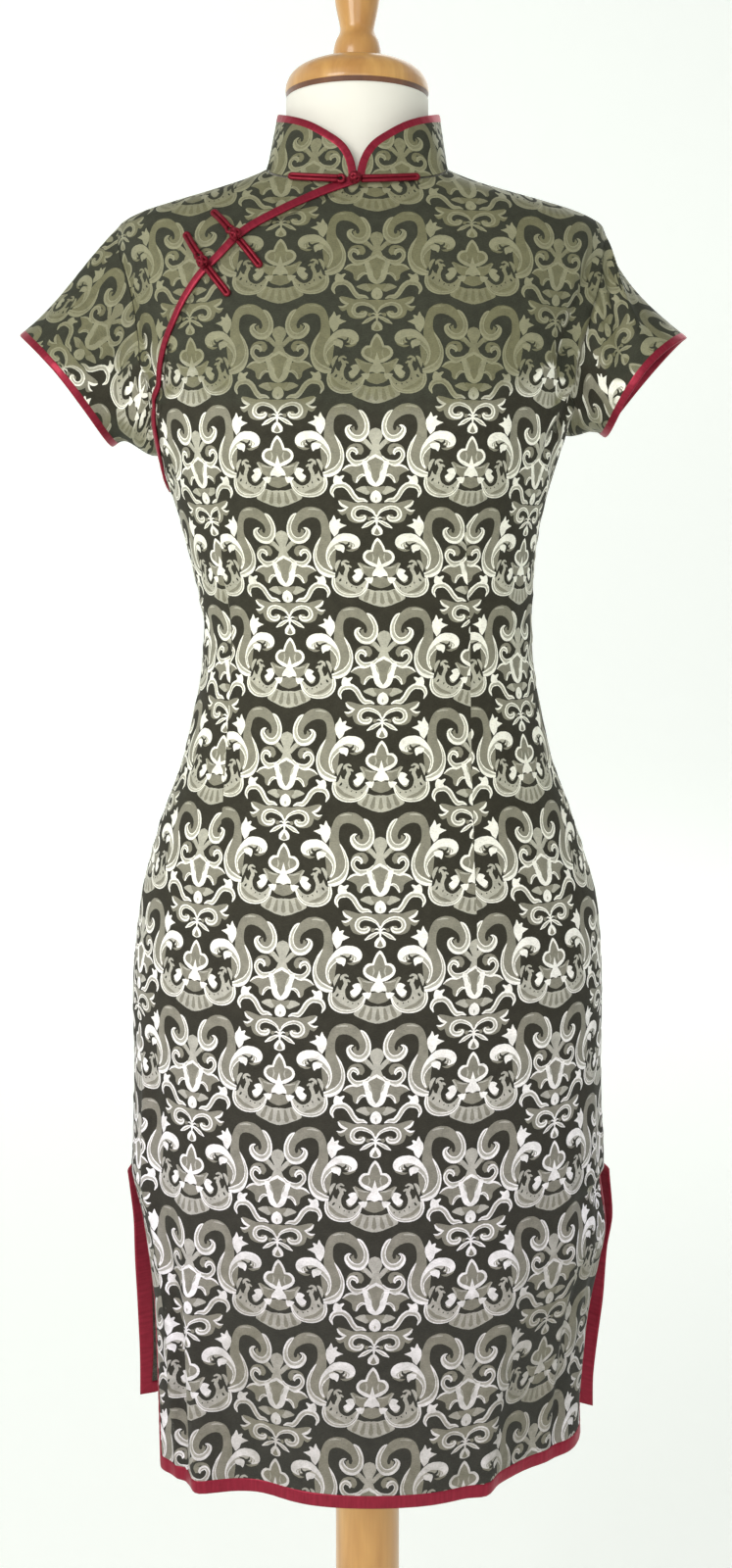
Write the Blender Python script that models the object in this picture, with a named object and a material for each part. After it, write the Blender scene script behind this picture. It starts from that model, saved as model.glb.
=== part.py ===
"""A short-sleeved, knee-length cheongsam of figured brocade, worn by a limbless dress form.

Metres, +Z up, the floor at Z = 0, +X to the right of someone who faces the dress and the origin under
the form's middle. The dress opens on the -X side.

Every piece of the dress is a wall of cloth on one surface, body_point(), whose level sections are the
RINGS table. A place on it is (side, s, t): side is FRONT or BACK, s runs from -1 at the side seam on -X
to 1 at the one on +X, and t is the distance up the side of the body from the hem.
"""

import math
from collections import namedtuple

import bmesh
import bpy
import numpy as np

# Cloth and trim.
CLOTH = 0.002  # wall of a brocade panel
GAP = 0.0003  # between pieces that are sewn together
SATIN = 0.0022  # thickness of a satin binding
HEM_BAND = 0.0072  # width of the binding on hem and slits
SLEEVE_BAND = 0.0062
COLLAR_BAND = 0.0054
PLACKET_BAND = 0.0056
PLACKET_LIFT = 0.0006  # the opening's binding stands this far off the panels under it

FRONT, BACK = -1, 1
LEFT, RIGHT = -1, 1  # the -X and +X sides

# Level sections of the dress, from the hem up. Depths are measured forwards and backwards from y = 0.
Ring = namedtuple("Ring", "height centre half_width front back square")
RINGS = [
    Ring(0.420, -0.001, 0.1715, 0.1150, 0.1120, 2.15),
    Ring(0.520, 0.001, 0.1765, 0.1180, 0.1170, 2.15),
    Ring(0.571, 0.002, 0.1785, 0.1195, 0.1200, 2.15),
    Ring(0.618, 0.000, 0.1770, 0.1205, 0.1235, 2.12),
    Ring(0.680, 0.000, 0.1750, 0.1215, 0.1285, 2.10),
    Ring(0.754, 0.000, 0.1758, 0.1215, 0.1320, 2.10),
    Ring(0.813, 0.001, 0.1716, 0.1180, 0.1290, 2.10),
    Ring(0.872, 0.000, 0.1564, 0.1100, 0.1160, 2.08),
    Ring(0.931, 0.000, 0.1365, 0.1000, 0.0980, 2.05),
    Ring(1.016, 0.0005, 0.1231, 0.0930, 0.0880, 2.05),
    Ring(1.064, -0.003, 0.1283, 0.0990, 0.0930, 2.10),
    Ring(1.094, -0.005, 0.1339, 0.1060, 0.0975, 2.15),
    Ring(1.138, -0.006, 0.1464, 0.1150, 0.1030, 2.25),
    Ring(1.165, -0.006, 0.1550, 0.1170, 0.1050, 2.35),
    Ring(1.205, -0.005, 0.1640, 0.1140, 0.1050, 2.45),
    Ring(1.245, -0.005, 0.1720, 0.1070, 0.1015, 2.50),
    Ring(1.285, -0.005, 0.1800, 0.0965, 0.0945, 2.45),
    Ring(1.306, -0.005, 0.1835, 0.0890, 0.0890, 2.35),
    Ring(1.318, -0.005, 0.1825, 0.0835, 0.0855, 2.25),
    Ring(1.327, -0.0055, 0.1710, 0.0785, 0.0825, 2.15),
    Ring(1.335, -0.006, 0.1480, 0.0750, 0.0800, 2.08),
    Ring(1.3435, -0.007, 0.1180, 0.0725, 0.0775, 2.02),
    Ring(1.352, -0.0075, 0.0900, 0.0705, 0.0750, 2.00),
    Ring(1.363, -0.0075, 0.0675, 0.0680, 0.0725, 2.00),
    Ring(1.374, -0.0075, 0.0620, 0.0640, 0.0690, 2.00),
]

# The bust: a soft rise on each side of the front.
BUST_HEIGHT, BUST_APART, BUST_RISE = 1.168, 0.076, 0.010
BUST_WIDE, BUST_TALL = 0.046, 0.058

# Where the panels end.
SLIT_TOP = 0.618
OPENING_END = 1.123  # the opening's binding meets the side seam here
UNDERLAP_FOOT = 1.127
NECK_FRONT, NECK_SIDE, NECK_BACK = 1.3400, 1.3630, 1.3690
SHOULDER_TIP = 1.3245
PIT = {LEFT: 1.149, RIGHT: 1.164}
ARMHOLE_DEEP = 0.23  # how far the armhole cuts into the panels, as a share of s
SLIT_INSET = 0.031  # what the binding takes off a slit's edge, as a share of s
SLIT_LEDGE = 0.0010  # height of the step where the slit's edge leaves the side seam
HEM_T = HEM_BAND + GAP  # t of a panel's lower edge

# Rows of a panel's cells in the skirt, the body, the armhole and the shoulder; the last TOP_ROWS bend to
# the neckline.
SKIRT_ROWS, BODY_ROWS, ARM_ROWS, SHOULDER_ROWS, TOP_ROWS = 7, 13, 12, 5, 7
SEAM_ROWS = 3  # of the underlap, under the armhole
PANEL_COLUMNS, UNDERLAP_COLUMNS = 18, 9
SLEEVE_AROUND = 2 * ARM_ROWS  # so that the sleeve's points meet the armhole's

# Below the slits each panel's edge swings on its own: across towards +X, forward towards -Y, and its last
# strip flares outwards. drop is 0 at the slit's top and 1 at the hem.
Swing = namedtuple("Swing", "drop across forward flare", defaults=[0])
SWINGS = {
    (FRONT, LEFT): [
        Swing(0, 0, 0),
        Swing(0.15, 0.010, 0.016),
        Swing(0.50, 0.021, 0.038),
        Swing(1, 0.0245, 0.061),
    ],
    (FRONT, RIGHT): [
        Swing(0, 0, 0),
        Swing(0.04, -0.0040, 0.001),
        Swing(0.21, -0.0030, 0.004),
        Swing(0.35, -0.0070, 0.005),
        Swing(0.60, -0.0130, 0.006),
        Swing(0.85, -0.0138, 0.008),
        Swing(1, -0.0115, 0.010),
    ],
    (BACK, LEFT): [
        Swing(0, 0, 0, 0),
        Swing(0.04, 0.0050, -0.003, 0.012),
        Swing(0.15, 0.0075, -0.010, 0.014),
        Swing(0.30, 0.0108, -0.016, 0.018),
        Swing(0.50, 0.0112, -0.022, 0.020),
        Swing(0.75, 0.0098, -0.031, 0.020),
        Swing(1, 0.0082, -0.0375, 0.022),
    ],
    (BACK, RIGHT): [
        Swing(0, 0, 0, 0),
        Swing(0.04, -0.0028, -0.003, 0.010),
        Swing(0.21, -0.0031, -0.006, 0.010),
        Swing(0.35, -0.0072, -0.009, 0.012),
        Swing(0.60, -0.0099, -0.015, 0.020),
        Swing(0.85, -0.0109, -0.018, 0.020),
        Swing(1, -0.0091, -0.020, 0.020),
    ],
}
SWING_START = 0.40  # the share of s, out from the middle, at which a swing begins
FLARE_START = 0.93  # and a flare

# The largest folds: soft ridges (proud above 0) and troughs that run from foot to head.
Fold = namedtuple("Fold", "side foot_s foot_z head_s head_z wide proud")
FOLDS = [
    Fold(FRONT, -0.43, 0.40, -0.52, 0.66, 0.055, 0.0085),
    Fold(FRONT, -0.28, 0.40, -0.34, 0.62, 0.110, -0.0105),
    Fold(FRONT, 0.31, 0.40, 0.36, 0.68, 0.045, 0.0060),
    Fold(FRONT, 0.52, 0.40, 0.56, 0.66, 0.240, -0.0190),
    Fold(BACK, -0.42, 0.40, -0.40, 0.64, 0.070, 0.0060),
    Fold(BACK, 0.10, 0.40, 0.12, 0.60, 0.090, -0.0040),
    Fold(BACK, 0.46, 0.40, 0.50, 0.68, 0.070, 0.0065),
    Fold(FRONT, 0.78, 1.17, 0.50, 1.30, 0.090, -0.0030),
    Fold(FRONT, 0.66, 1.14, 0.36, 1.28, 0.070, 0.0020),
    Fold(FRONT, -0.70, 1.03, -0.40, 1.10, 0.090, 0.0022),
    Fold(FRONT, 0.72, 1.00, 0.45, 1.09, 0.080, 0.0022),
    Fold(BACK, -0.60, 0.98, -0.20, 1.05, 0.120, 0.0030),
    Fold(BACK, 0.62, 0.99, 0.22, 1.06, 0.110, 0.0028),
]

# The opening's edge, as seen from the front, from the side seam to the neck.
Place = namedtuple("Place", "x z")
OPENING = [
    Place(-0.1480, 1.1230),
    Place(-0.1512, 1.1533),
    Place(-0.1513, 1.1771),
    Place(-0.1475, 1.2022),
    Place(-0.1422, 1.2232),
    Place(-0.1356, 1.2381),
    Place(-0.1277, 1.2537),
    Place(-0.1165, 1.2699),
    Place(-0.1041, 1.2823),
    Place(-0.0864, 1.3001),
    Place(-0.0617, 1.3148),
    Place(-0.0341, 1.3285),
    Place(-0.0094, 1.3382),
]

# Frogs on the opening: outer end on the underlap, knot on the binding, outer end on the front.
Frog = namedtuple("Frog", "shoulder_end knot front_end")
FROGS = {
    "frog_2": Frog(Place(-0.1085, 1.3170), Place(-0.0926, 1.2981), Place(-0.0755, 1.2767)),
    "frog_3": Frog(Place(-0.1279, 1.3010), Place(-0.1145, 1.2798), Place(-0.0975, 1.2568)),
}
CORD_WIDE, CORD_THICK = 0.0052, 0.0026  # a doubled satin cord
KNOT_WIDE, KNOT_LONG, KNOT_TALL = 0.0100, 0.0100, 0.0085

# Sleeve hems: the top and bottom of each loop from the front, and half its depth. start_down is how steeply
# the top of the sleeve leaves the shoulder, and tuck how far the front of the loop is drawn in.
Hem = namedtuple("Hem", "top bottom half_depth start_down tuck")
SLEEVE_HEMS = {
    LEFT: Hem(Place(-0.2570, 1.2430), Place(-0.1885, 1.1590), 0.052, 0.15, 0.0062),
    RIGHT: Hem(Place(0.2360, 1.2410), Place(0.1755, 1.1660), 0.052, 4.00, 0.0110),
}
SLEEVE_SEAM = 0.0009  # the sleeve starts this far outside the armhole
SLEEVE_ALONG = 6  # cells from the armhole to the hem

# Collar: the brocade's upper edge by the angle from the front, on a cone from the neckline to its top ring.
Edge = namedtuple("Edge", "degrees height")
COLLAR_EDGE = [
    Edge(4, 1.3425),
    Edge(6, 1.3540),
    Edge(9, 1.3618),
    Edge(12, 1.3663),
    Edge(18, 1.3718),
    Edge(36, 1.3838),
    Edge(60, 1.3925),
    Edge(90, 1.4000),
    Edge(180, 1.4070),
]
COLLAR_RING = Ring(1.410, -0.0065, 0.0603, 0.0600, 0.0620, 2.0)
COLLAR_SEAM = 0.0014  # the collar starts this far above the neckline
COLLAR_INSET = 4.7  # degrees from the front's middle to the brocade's edge
COLLAR_FROG = (31, -34)  # degrees from the front to the ends of the knot half and the loop half

# Dress form.
FORM_BOTTOM = 0.700
Clearance = namedtuple("Clearance", "height gap")
FORM_CLEAR = [
    Clearance(0.700, 0.0045),
    Clearance(1.020, 0.0040),
    Clearance(1.200, 0.0035),
    Clearance(1.300, 0.0026),
    Clearance(1.325, 0.0014),
]
ARM_CLEAR = 0.0045  # how much further in the form stands where the armholes leave it bare
NECK_CENTRE = -0.0077
POST_RADIUS = 0.0240

# Round profiles, from the bottom of each to its top: the form's neck and the turned wood.
Turn = namedtuple("Turn", "radius height")
NECK = [
    Turn(0.0600, 1.3630),
    Turn(0.0560, 1.3750),
    Turn(0.0540, 1.3900),
    Turn(0.0535, 1.4172),
]
CAP = [
    Turn(0.0522, 1.4175),
    Turn(0.0540, 1.4213),
    Turn(0.0541, 1.4245),
    Turn(0.0532, 1.4290),
    Turn(0.0503, 1.4345),
    Turn(0.0445, 1.4395),
    Turn(0.0355, 1.4435),
    Turn(0.0250, 1.4460),
]
FINIAL = [
    Turn(0.0180, 1.4463),
    Turn(0.0180, 1.4530),
    Turn(0.0175, 1.4570),
    Turn(0.0161, 1.4620),
    Turn(0.0138, 1.4665),
    Turn(0.0129, 1.4705),
    Turn(0.0136, 1.4755),
    Turn(0.0152, 1.4830),
    Turn(0.0168, 1.4920),
    Turn(0.0174, 1.5030),
    Turn(0.0164, 1.5135),
    Turn(0.0134, 1.5215),
    Turn(0.0084, 1.5270),
    Turn(0.0030, 1.5290),
]
BASE = [
    Turn(0.1620, 0.0000),
    Turn(0.1690, 0.0030),
    Turn(0.1700, 0.0120),
    Turn(0.1660, 0.0185),
    Turn(0.1580, 0.0215),
    Turn(0.1560, 0.0255),
    Turn(0.1450, 0.0300),
    Turn(0.0600, 0.0335),
    Turn(0.0340, 0.0340),
]
POST = [
    Turn(0.0335, 0.0343),
    Turn(0.0345, 0.0400),
    Turn(0.0325, 0.0470),
    Turn(0.0262, 0.0520),
    Turn(POST_RADIUS, 0.0580),
]


# ---- curves through a table ----


def smooth(keys, values, at):
    """A monotone cubic through the points (keys, values), read at the places in at."""
    keys, values, at = np.asarray(keys, float), np.asarray(values, float), np.asarray(at, float)
    steps = np.diff(keys)
    slopes = np.diff(values) / steps
    tangents = np.zeros(len(keys))
    tangents[0], tangents[-1] = slopes[0], slopes[-1]
    for i in range(1, len(keys) - 1):
        if slopes[i - 1] * slopes[i] > 0:
            near, far = 2 * steps[i] + steps[i - 1], steps[i] + 2 * steps[i - 1]
            tangents[i] = (near + far) / (near / slopes[i - 1] + far / slopes[i])
    cell = np.clip(np.searchsorted(keys, at, side="right") - 1, 0, len(steps) - 1)
    u = (at - keys[cell]) / steps[cell]
    rise = slopes[cell] * steps[cell]
    start, end = tangents[cell] * steps[cell], tangents[cell + 1] * steps[cell]
    return values[cell] + u * (start + u * ((3 * rise - 2 * start - end) + u * (start + end - 2 * rise)))


def smooth_path(points, count):
    """count + 1 points, evenly spaced by length, on a Catmull-Rom curve through points."""
    points = np.asarray(points, float)
    ends = np.vstack([2 * points[0] - points[1], points, 2 * points[-1] - points[-2]])
    u = np.linspace(0, 1, 13)[:-1, None]
    dense = []
    for a, b, c, d in zip(ends[:-3], ends[1:-2], ends[2:-1], ends[3:]):
        square, cube = 2 * a - 5 * b + 4 * c - d, 3 * b - a - 3 * c + d
        dense.append(b + 0.5 * ((c - a) * u + square * u**2 + cube * u**3))
    dense = np.vstack(dense + [points[-1:]])
    length = np.concatenate([[0], np.cumsum(np.linalg.norm(np.diff(dense, axis=0), axis=1))])
    wanted = np.linspace(0, length[-1], count + 1)
    return np.column_stack([np.interp(wanted, length, dense[:, k]) for k in range(dense.shape[1])])


def ease(u):
    u = np.clip(u, 0, 1)
    return u * u * (3 - 2 * u)


def unit(vectors):
    return vectors / np.linalg.norm(vectors, axis=-1, keepdims=True)


# ---- the dress's surface ----

HEIGHTS = np.array([ring.height for ring in RINGS])
WIDTHS = np.array([ring.half_width for ring in RINGS])
RUN = np.concatenate([[0], np.cumsum(np.hypot(np.diff(HEIGHTS), np.diff(WIDTHS)))])


def run_at(height):
    """t at a height above the floor."""
    dense = np.linspace(0, RUN[-1], 2001)
    return np.interp(height, smooth(RUN, HEIGHTS, dense), dense)


def ring_at(t):
    return Ring(*(smooth(RUN, [getattr(ring, field) for ring in RINGS], t) for field in Ring._fields))


def swing_of(side, s, t):
    """How far a panel's edge has swung across and forward at (s, t), below the slit."""
    slit = run_at(SLIT_TOP)
    drop = np.clip((slit - t) / slit, 0, 1.02)
    share = np.clip((np.abs(s) - SWING_START) / (1 - SWING_START), 0, 1)
    edge = np.clip((np.abs(s) - FLARE_START) / (1 - FLARE_START), 0, 1.2)
    across, forward = np.zeros_like(drop), np.zeros_like(drop)
    for hand in (LEFT, RIGHT):
        drops, acrosses, forwards, flares = zip(*SWINGS[side, hand])
        here = np.sign(s) == hand
        across = across + here * ease(1.4 * share) * smooth(drops, acrosses, drop)
        across = across + here * edge**2 * hand * smooth(drops, flares, drop)
        forward = forward + here * share**1.5 * smooth(drops, forwards, drop)
    return across, forward


def fold_height(side, s, height):
    """How far the folds push the surface out."""
    total = np.zeros_like(height)
    for fold in FOLDS:
        if fold.side != side:
            continue
        share = (height - fold.foot_z) / (fold.head_z - fold.foot_z)
        middle = fold.foot_s + (fold.head_s - fold.foot_s) * share
        if fold.foot_z < SLIT_TOP:
            fade = ease(1 - share)
        else:
            fade = np.exp(-(((share - 0.5) / 0.38) ** 2))
        total = total + fold.proud * fade * np.exp(-(((s - middle) / fold.wide) ** 2))
    return total


def body_point(side, s, t):
    """Points of the dress's outer surface."""
    s, t = np.broadcast_arrays(np.asarray(s, float), np.asarray(t, float))
    ring = ring_at(t)
    turn = s * math.pi / 2
    power = 2 / ring.square
    across = np.sign(np.sin(turn)) * np.abs(np.sin(turn)) ** power
    through = np.sign(np.cos(turn)) * np.abs(np.cos(turn)) ** power
    depth = ring.front if side == FRONT else ring.back
    proud = fold_height(side, s, ring.height)
    x = ring.centre + (ring.half_width + proud) * across
    y = side * (depth + proud) * through
    if side == FRONT:
        tall = ((ring.height - BUST_HEIGHT) / BUST_TALL) ** 2
        for middle in (-BUST_APART, BUST_APART):
            wide = ((x - ring.centre - middle) / BUST_WIDE) ** 2
            y = y - BUST_RISE * through * np.exp(-wide - tall)
    aside, forward = swing_of(side, s, t)
    return np.stack([x + aside, y - forward + side * GAP / 2, ring.height], axis=-1)


def body_frame(side, s, t):
    """The points at (s, t) and the surface's outward normals there."""
    step = 2e-3
    along = body_point(side, s + step, t) - body_point(side, s - step, t)
    up = body_point(side, s, t + step) - body_point(side, s, t - step)
    return body_point(side, s, t), unit(-side * np.cross(along, up))


def on_front(x, z):
    """(s, t) of the place on the front that is seen at (x, z)."""
    t = run_at(z)
    ring = ring_at(t)
    share = np.clip((x - ring.centre) / ring.half_width, -1, 1)
    return np.sign(share) * np.arcsin(np.abs(share) ** (ring.square / 2)) * 2 / math.pi, t


def neckline(side, s):
    """t of the neckline at s."""
    middle = NECK_FRONT if side == FRONT else NECK_BACK
    return run_at(middle + (NECK_SIDE - middle) * np.sin(s * math.pi / 2) ** 2)


# ---- meshes ----


def material(name, colour, roughness, metallic=0.0):
    made = bpy.data.materials.new(name)
    made.use_nodes = True
    shader = made.node_tree.nodes["Principled BSDF"]
    shader.inputs["Base Color"].default_value = (*colour, 1)
    shader.inputs["Roughness"].default_value = roughness
    shader.inputs["Metallic"].default_value = metallic
    return made


def add_object(name, points, faces, finish):
    mesh = bpy.data.meshes.new(name)
    mesh.from_pydata([tuple(map(float, point)) for point in points], [], faces)
    work = bmesh.new()
    work.from_mesh(mesh)
    bmesh.ops.recalc_face_normals(work, faces=work.faces)
    work.to_mesh(mesh)
    work.free()
    mesh.materials.append(finish)
    mesh.shade_smooth()
    mesh.set_sharp_from_angle(angle=math.radians(40))
    made = bpy.data.objects.new(name, mesh)
    bpy.context.scene.collection.objects.link(made)
    return made


def add_wall(name, outer, normals, finish, closed=False, thickness=CLOTH):
    """A wall: a grid of outer points [row, column], and the same grid moved in. closed joins its columns."""
    rows, columns = outer.shape[:2]
    inner = outer - normals * thickness
    points = np.concatenate([outer.reshape(-1, 3), inner.reshape(-1, 3)])
    layer = rows * columns

    def at(row, column, level):
        return level * layer + row * columns + column % columns

    faces = []
    cells = columns if closed else columns - 1
    for row in range(rows - 1):
        for column in range(cells):
            corners = [(row, column), (row, column + 1), (row + 1, column + 1), (row + 1, column)]
            faces.append([at(r, c, 0) for r, c in corners])
            faces.append([at(r, c, 1) for r, c in reversed(corners)])
    edges = [((row, c), (row, c + 1)) for row in (0, rows - 1) for c in range(cells)]
    if not closed:
        edges += [((r, column), (r + 1, column)) for column in (0, columns - 1) for r in range(rows - 1)]
    for start, end in edges:
        faces.append([at(*start, 0), at(*end, 0), at(*end, 1), at(*start, 1)])
    return add_object(name, points, faces, finish)


def add_loft(name, sections, finish, round_ends=False):
    """A solid through closed sections [station, corner], with a flat or pointed cap at each end."""
    stations, corners = sections.shape[:2]
    points = list(sections.reshape(-1, 3))
    faces = []
    for station in range(stations - 1):
        for corner in range(corners):
            after = (corner + 1) % corners
            here, there = station * corners, (station + 1) * corners
            faces.append([here + corner, here + after, there + after, there + corner])
    for station in (0, stations - 1):
        first = station * corners
        if round_ends:
            neighbour = 1 if station == 0 else stations - 2
            middle = sections[station].mean(axis=0)
            tip = middle + 0.35 * (middle - sections[neighbour].mean(axis=0))
            points.append(tip)
            faces += [[first + c, first + (c + 1) % corners, len(points) - 1] for c in range(corners)]
        else:
            faces.append([first + corner for corner in range(corners)])
    return add_object(name, points, faces, finish)


def across_of(path, normals, loop=False):
    """Vectors in the surface, square to the path, to its right as seen from outside, longer at a corner."""
    if loop:
        steps = unit(np.roll(path, -1, axis=0) - path)
        before, after = np.roll(steps, 1, axis=0), steps
    else:
        steps = unit(np.diff(path, axis=0))
        before, after = np.vstack([steps[:1], steps]), np.vstack([steps, steps[-1:]])
    sides = unit(np.cross(before, normals)), unit(np.cross(after, normals))
    middle = unit(sides[0] + sides[1])
    corner = np.sum(middle * sides[0], axis=-1, keepdims=True)
    return middle / np.maximum(corner, 0.6)


def band_sections(path, normals, across, width, thickness, near, lift):
    """Six-sided sections of a flat strip whose near edge lies that far across from the path."""
    bevel = 0.35 * thickness
    outline = [
        (near, 0),
        (near + bevel, thickness / 2),
        (near + width - bevel, thickness / 2),
        (near + width, 0),
        (near + width - bevel, -thickness / 2),
        (near + bevel, -thickness / 2),
    ]
    corners = [path + across * wide + normals * (tall + lift) for wide, tall in outline]
    return np.stack(corners, axis=1)


def add_band(name, path, normals, finish, width, near=GAP, lift=-CLOTH / 2, loop=False, side=1):
    across = side * across_of(path, normals, loop)
    sections = band_sections(path, normals, across, width, SATIN, near, lift)
    if not loop:
        return add_loft(name, sections, finish)
    stations, corners = sections.shape[:2]
    faces = []
    for station in range(stations):
        after = (station + 1) % stations
        for corner in range(corners):
            turn = (corner + 1) % corners
            here, there = station * corners, after * corners
            faces.append([here + corner, here + turn, there + turn, there + corner])
    return add_object(name, sections.reshape(-1, 3), faces, finish)


def add_turned(name, profile, finish, middle=0.0, around=40):
    """A solid turned about a vertical axis at x = middle."""
    angles = np.arange(around) * 2 * math.pi / around
    sections = np.array(
        [[(middle + r * math.cos(a), r * math.sin(a), z) for a in angles] for r, z in profile]
    )
    return add_loft(name, sections, finish)


# ---- panels of the dress ----

def slit_edge(t):
    """How far a panel's slit edge is held back for its binding."""
    return SLIT_INSET * ease((run_at(SLIT_TOP) - t) / SLIT_LEDGE)


def armhole(hand, count):
    """(s, t) of the armhole's edge from the pit up to the shoulder, as for hand = RIGHT."""
    low, high = run_at(PIT[hand]), run_at(SHOULDER_TIP)
    turn = np.linspace(0, math.pi, count + 1)
    t = (low + high) / 2 - (high - low) / 2 * np.cos(turn)
    return np.column_stack([1 - ARMHOLE_DEEP * np.sin(turn), t])


def edge_up(hand):
    """(s, t) of a panel's whole side edge: slit, side seam, armhole and shoulder seam."""
    slit, pit, tip = run_at(SLIT_TOP), run_at(PIT[hand]), run_at(SHOULDER_TIP)
    skirt = np.concatenate([np.linspace(HEM_T, slit - SLIT_LEDGE, SKIRT_ROWS), [slit]])
    body = np.linspace(slit, pit, BODY_ROWS + 1)[1:]
    shoulder = np.linspace(tip, neckline(FRONT, 1), SHOULDER_ROWS + 1)[1:]
    rows = [(1 - slit_edge(t), t) for t in skirt] + [(1, t) for t in body[:-1]]
    rows += list(armhole(hand, ARM_ROWS)) + [(1, t) for t in shoulder]
    rows = np.array(rows)
    rows[:, 0] *= hand
    return rows


def opening_path(offset, count):
    """(s, t) along the opening's edge from the side seam to the neck, moved up and out by offset."""
    path = smooth_path(OPENING, count)
    steps = unit(np.gradient(path, axis=0))
    out = np.column_stack([-steps[:, 1], steps[:, 0]])
    moved = path + out * offset
    s, t = on_front(moved[:, 0], moved[:, 1])
    return np.column_stack([s, t])


def spread(columns):
    """Shares from 0 to 1, closer together at both ends, where the body turns fastest."""
    even = np.linspace(0, 1, columns + 1)
    return 0.55 * even + 0.45 * (1 - np.cos(math.pi * even)) / 2


def panel_grid(left, right, top, columns):
    """(s, t) on a grid whose rows run from left to right and whose last rows bend to meet top."""
    share = spread(columns)[:, None]
    rows = len(left)
    grid = np.array([left[j] * (1 - share) + right[j] * share for j in range(rows)])
    bend = top - grid[-1]
    for j in range(rows - TOP_ROWS, rows):
        grid[j] += bend * ((j - rows + TOP_ROWS + 1) / TOP_ROWS) ** 2
    return grid


def add_panel(name, side, grid, finish):
    points, normals = body_frame(side, grid[..., 0], grid[..., 1])
    return add_wall(name, points, normals, finish)


def front_edges():
    """The two long edges of the front: slit, side seam and opening on the left; slit to neck on the right."""
    right = edge_up(RIGHT)
    slit, end = run_at(SLIT_TOP), run_at(OPENING_END)
    skirt = np.concatenate([np.linspace(HEM_T, slit - SLIT_LEDGE, SKIRT_ROWS), [slit]])
    body = np.linspace(slit, end, BODY_ROWS)[1:]
    left = [(-1 + slit_edge(t), t) for t in skirt] + [(-1, t) for t in body]
    opening = opening_path(0, len(right) - len(left) - 1)
    return np.vstack([left, opening]), right


def add_front(finish):
    left, right = front_edges()
    s = left[-1][0] + (1 - left[-1][0]) * spread(PANEL_COLUMNS)
    top = np.column_stack([s, neckline(FRONT, s)])
    top[0] = left[-1]
    return add_panel("front", FRONT, panel_grid(left, right, top, PANEL_COLUMNS), finish)


def add_underlap(finish):
    """The shoulder piece, from the side seam under the arm to the neck, inside the opening's edge."""
    foot, pit, tip = run_at(UNDERLAP_FOOT), run_at(PIT[LEFT]), run_at(SHOULDER_TIP)
    seam = [(-1, t) for t in np.linspace(foot, pit, SEAM_ROWS + 1)[:-1]]
    arm = armhole(LEFT, ARM_ROWS) * (-1, 1)
    shoulder = [(-1, t) for t in np.linspace(tip, neckline(FRONT, 1), SHOULDER_ROWS + 1)[1:]]
    outer = np.vstack([seam, arm, shoulder])

    # Rows run level up to the armhole's middle, and from there fan out to the neck.
    path = opening_path(3 * GAP, 200)
    places = np.arange(len(path))
    level = SEAM_ROWS + ARM_ROWS // 2
    stations = np.interp(outer[:level, 1], path[:, 1], places)
    fan = np.linspace(stations[-1], places[-1], len(outer) - level + 1)[1:]
    stations = np.concatenate([stations, fan])
    inner = np.column_stack([np.interp(stations, places, path[:, k]) for k in (0, 1)])

    s = -1 + (inner[-1][0] + 1) * spread(UNDERLAP_COLUMNS)
    top = np.column_stack([s, neckline(FRONT, s)])
    top[-1] = inner[-1]
    grid = panel_grid(outer, inner, top, UNDERLAP_COLUMNS)
    return add_panel("front_underlap", FRONT, grid, finish)


def add_back(finish):
    left, right = edge_up(LEFT), edge_up(RIGHT)
    s = -1 + 2 * spread(PANEL_COLUMNS)
    top = np.column_stack([s, neckline(BACK, s)])
    return add_panel("back", BACK, panel_grid(left, right, top, PANEL_COLUMNS), finish)


def add_skirt_binding(name, side, finish):
    """One strip down a slit, along the hem and up the other slit, mitred at both corners."""
    slit = run_at(SLIT_TOP)
    down = np.linspace(slit - SLIT_LEDGE - 2 * GAP, HEM_T, SKIRT_ROWS)
    left = [(-1 + slit_edge(t), t) for t in down]
    right = [(1 - slit_edge(t), t) for t in down[::-1]]
    width = right[0][0] - left[-1][0]
    hem = [(left[-1][0] + width * share, HEM_T) for share in spread(PANEL_COLUMNS)[1:-1]]
    path = np.array(left + hem + right)
    points, normals = body_frame(side, path[:, 0], path[:, 1])
    return add_band(name, points, normals, finish, HEM_BAND, side=1 if side == FRONT else -1)


def add_placket_binding(finish):
    path = opening_path(0, 24)
    points, normals = body_frame(FRONT, path[:, 0], path[:, 1])
    lift = PLACKET_LIFT + SATIN / 2
    return add_band("placket_binding", points, normals, finish, PLACKET_BAND, near=-0.001, lift=lift, side=-1)


# ---- sleeves ----


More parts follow.
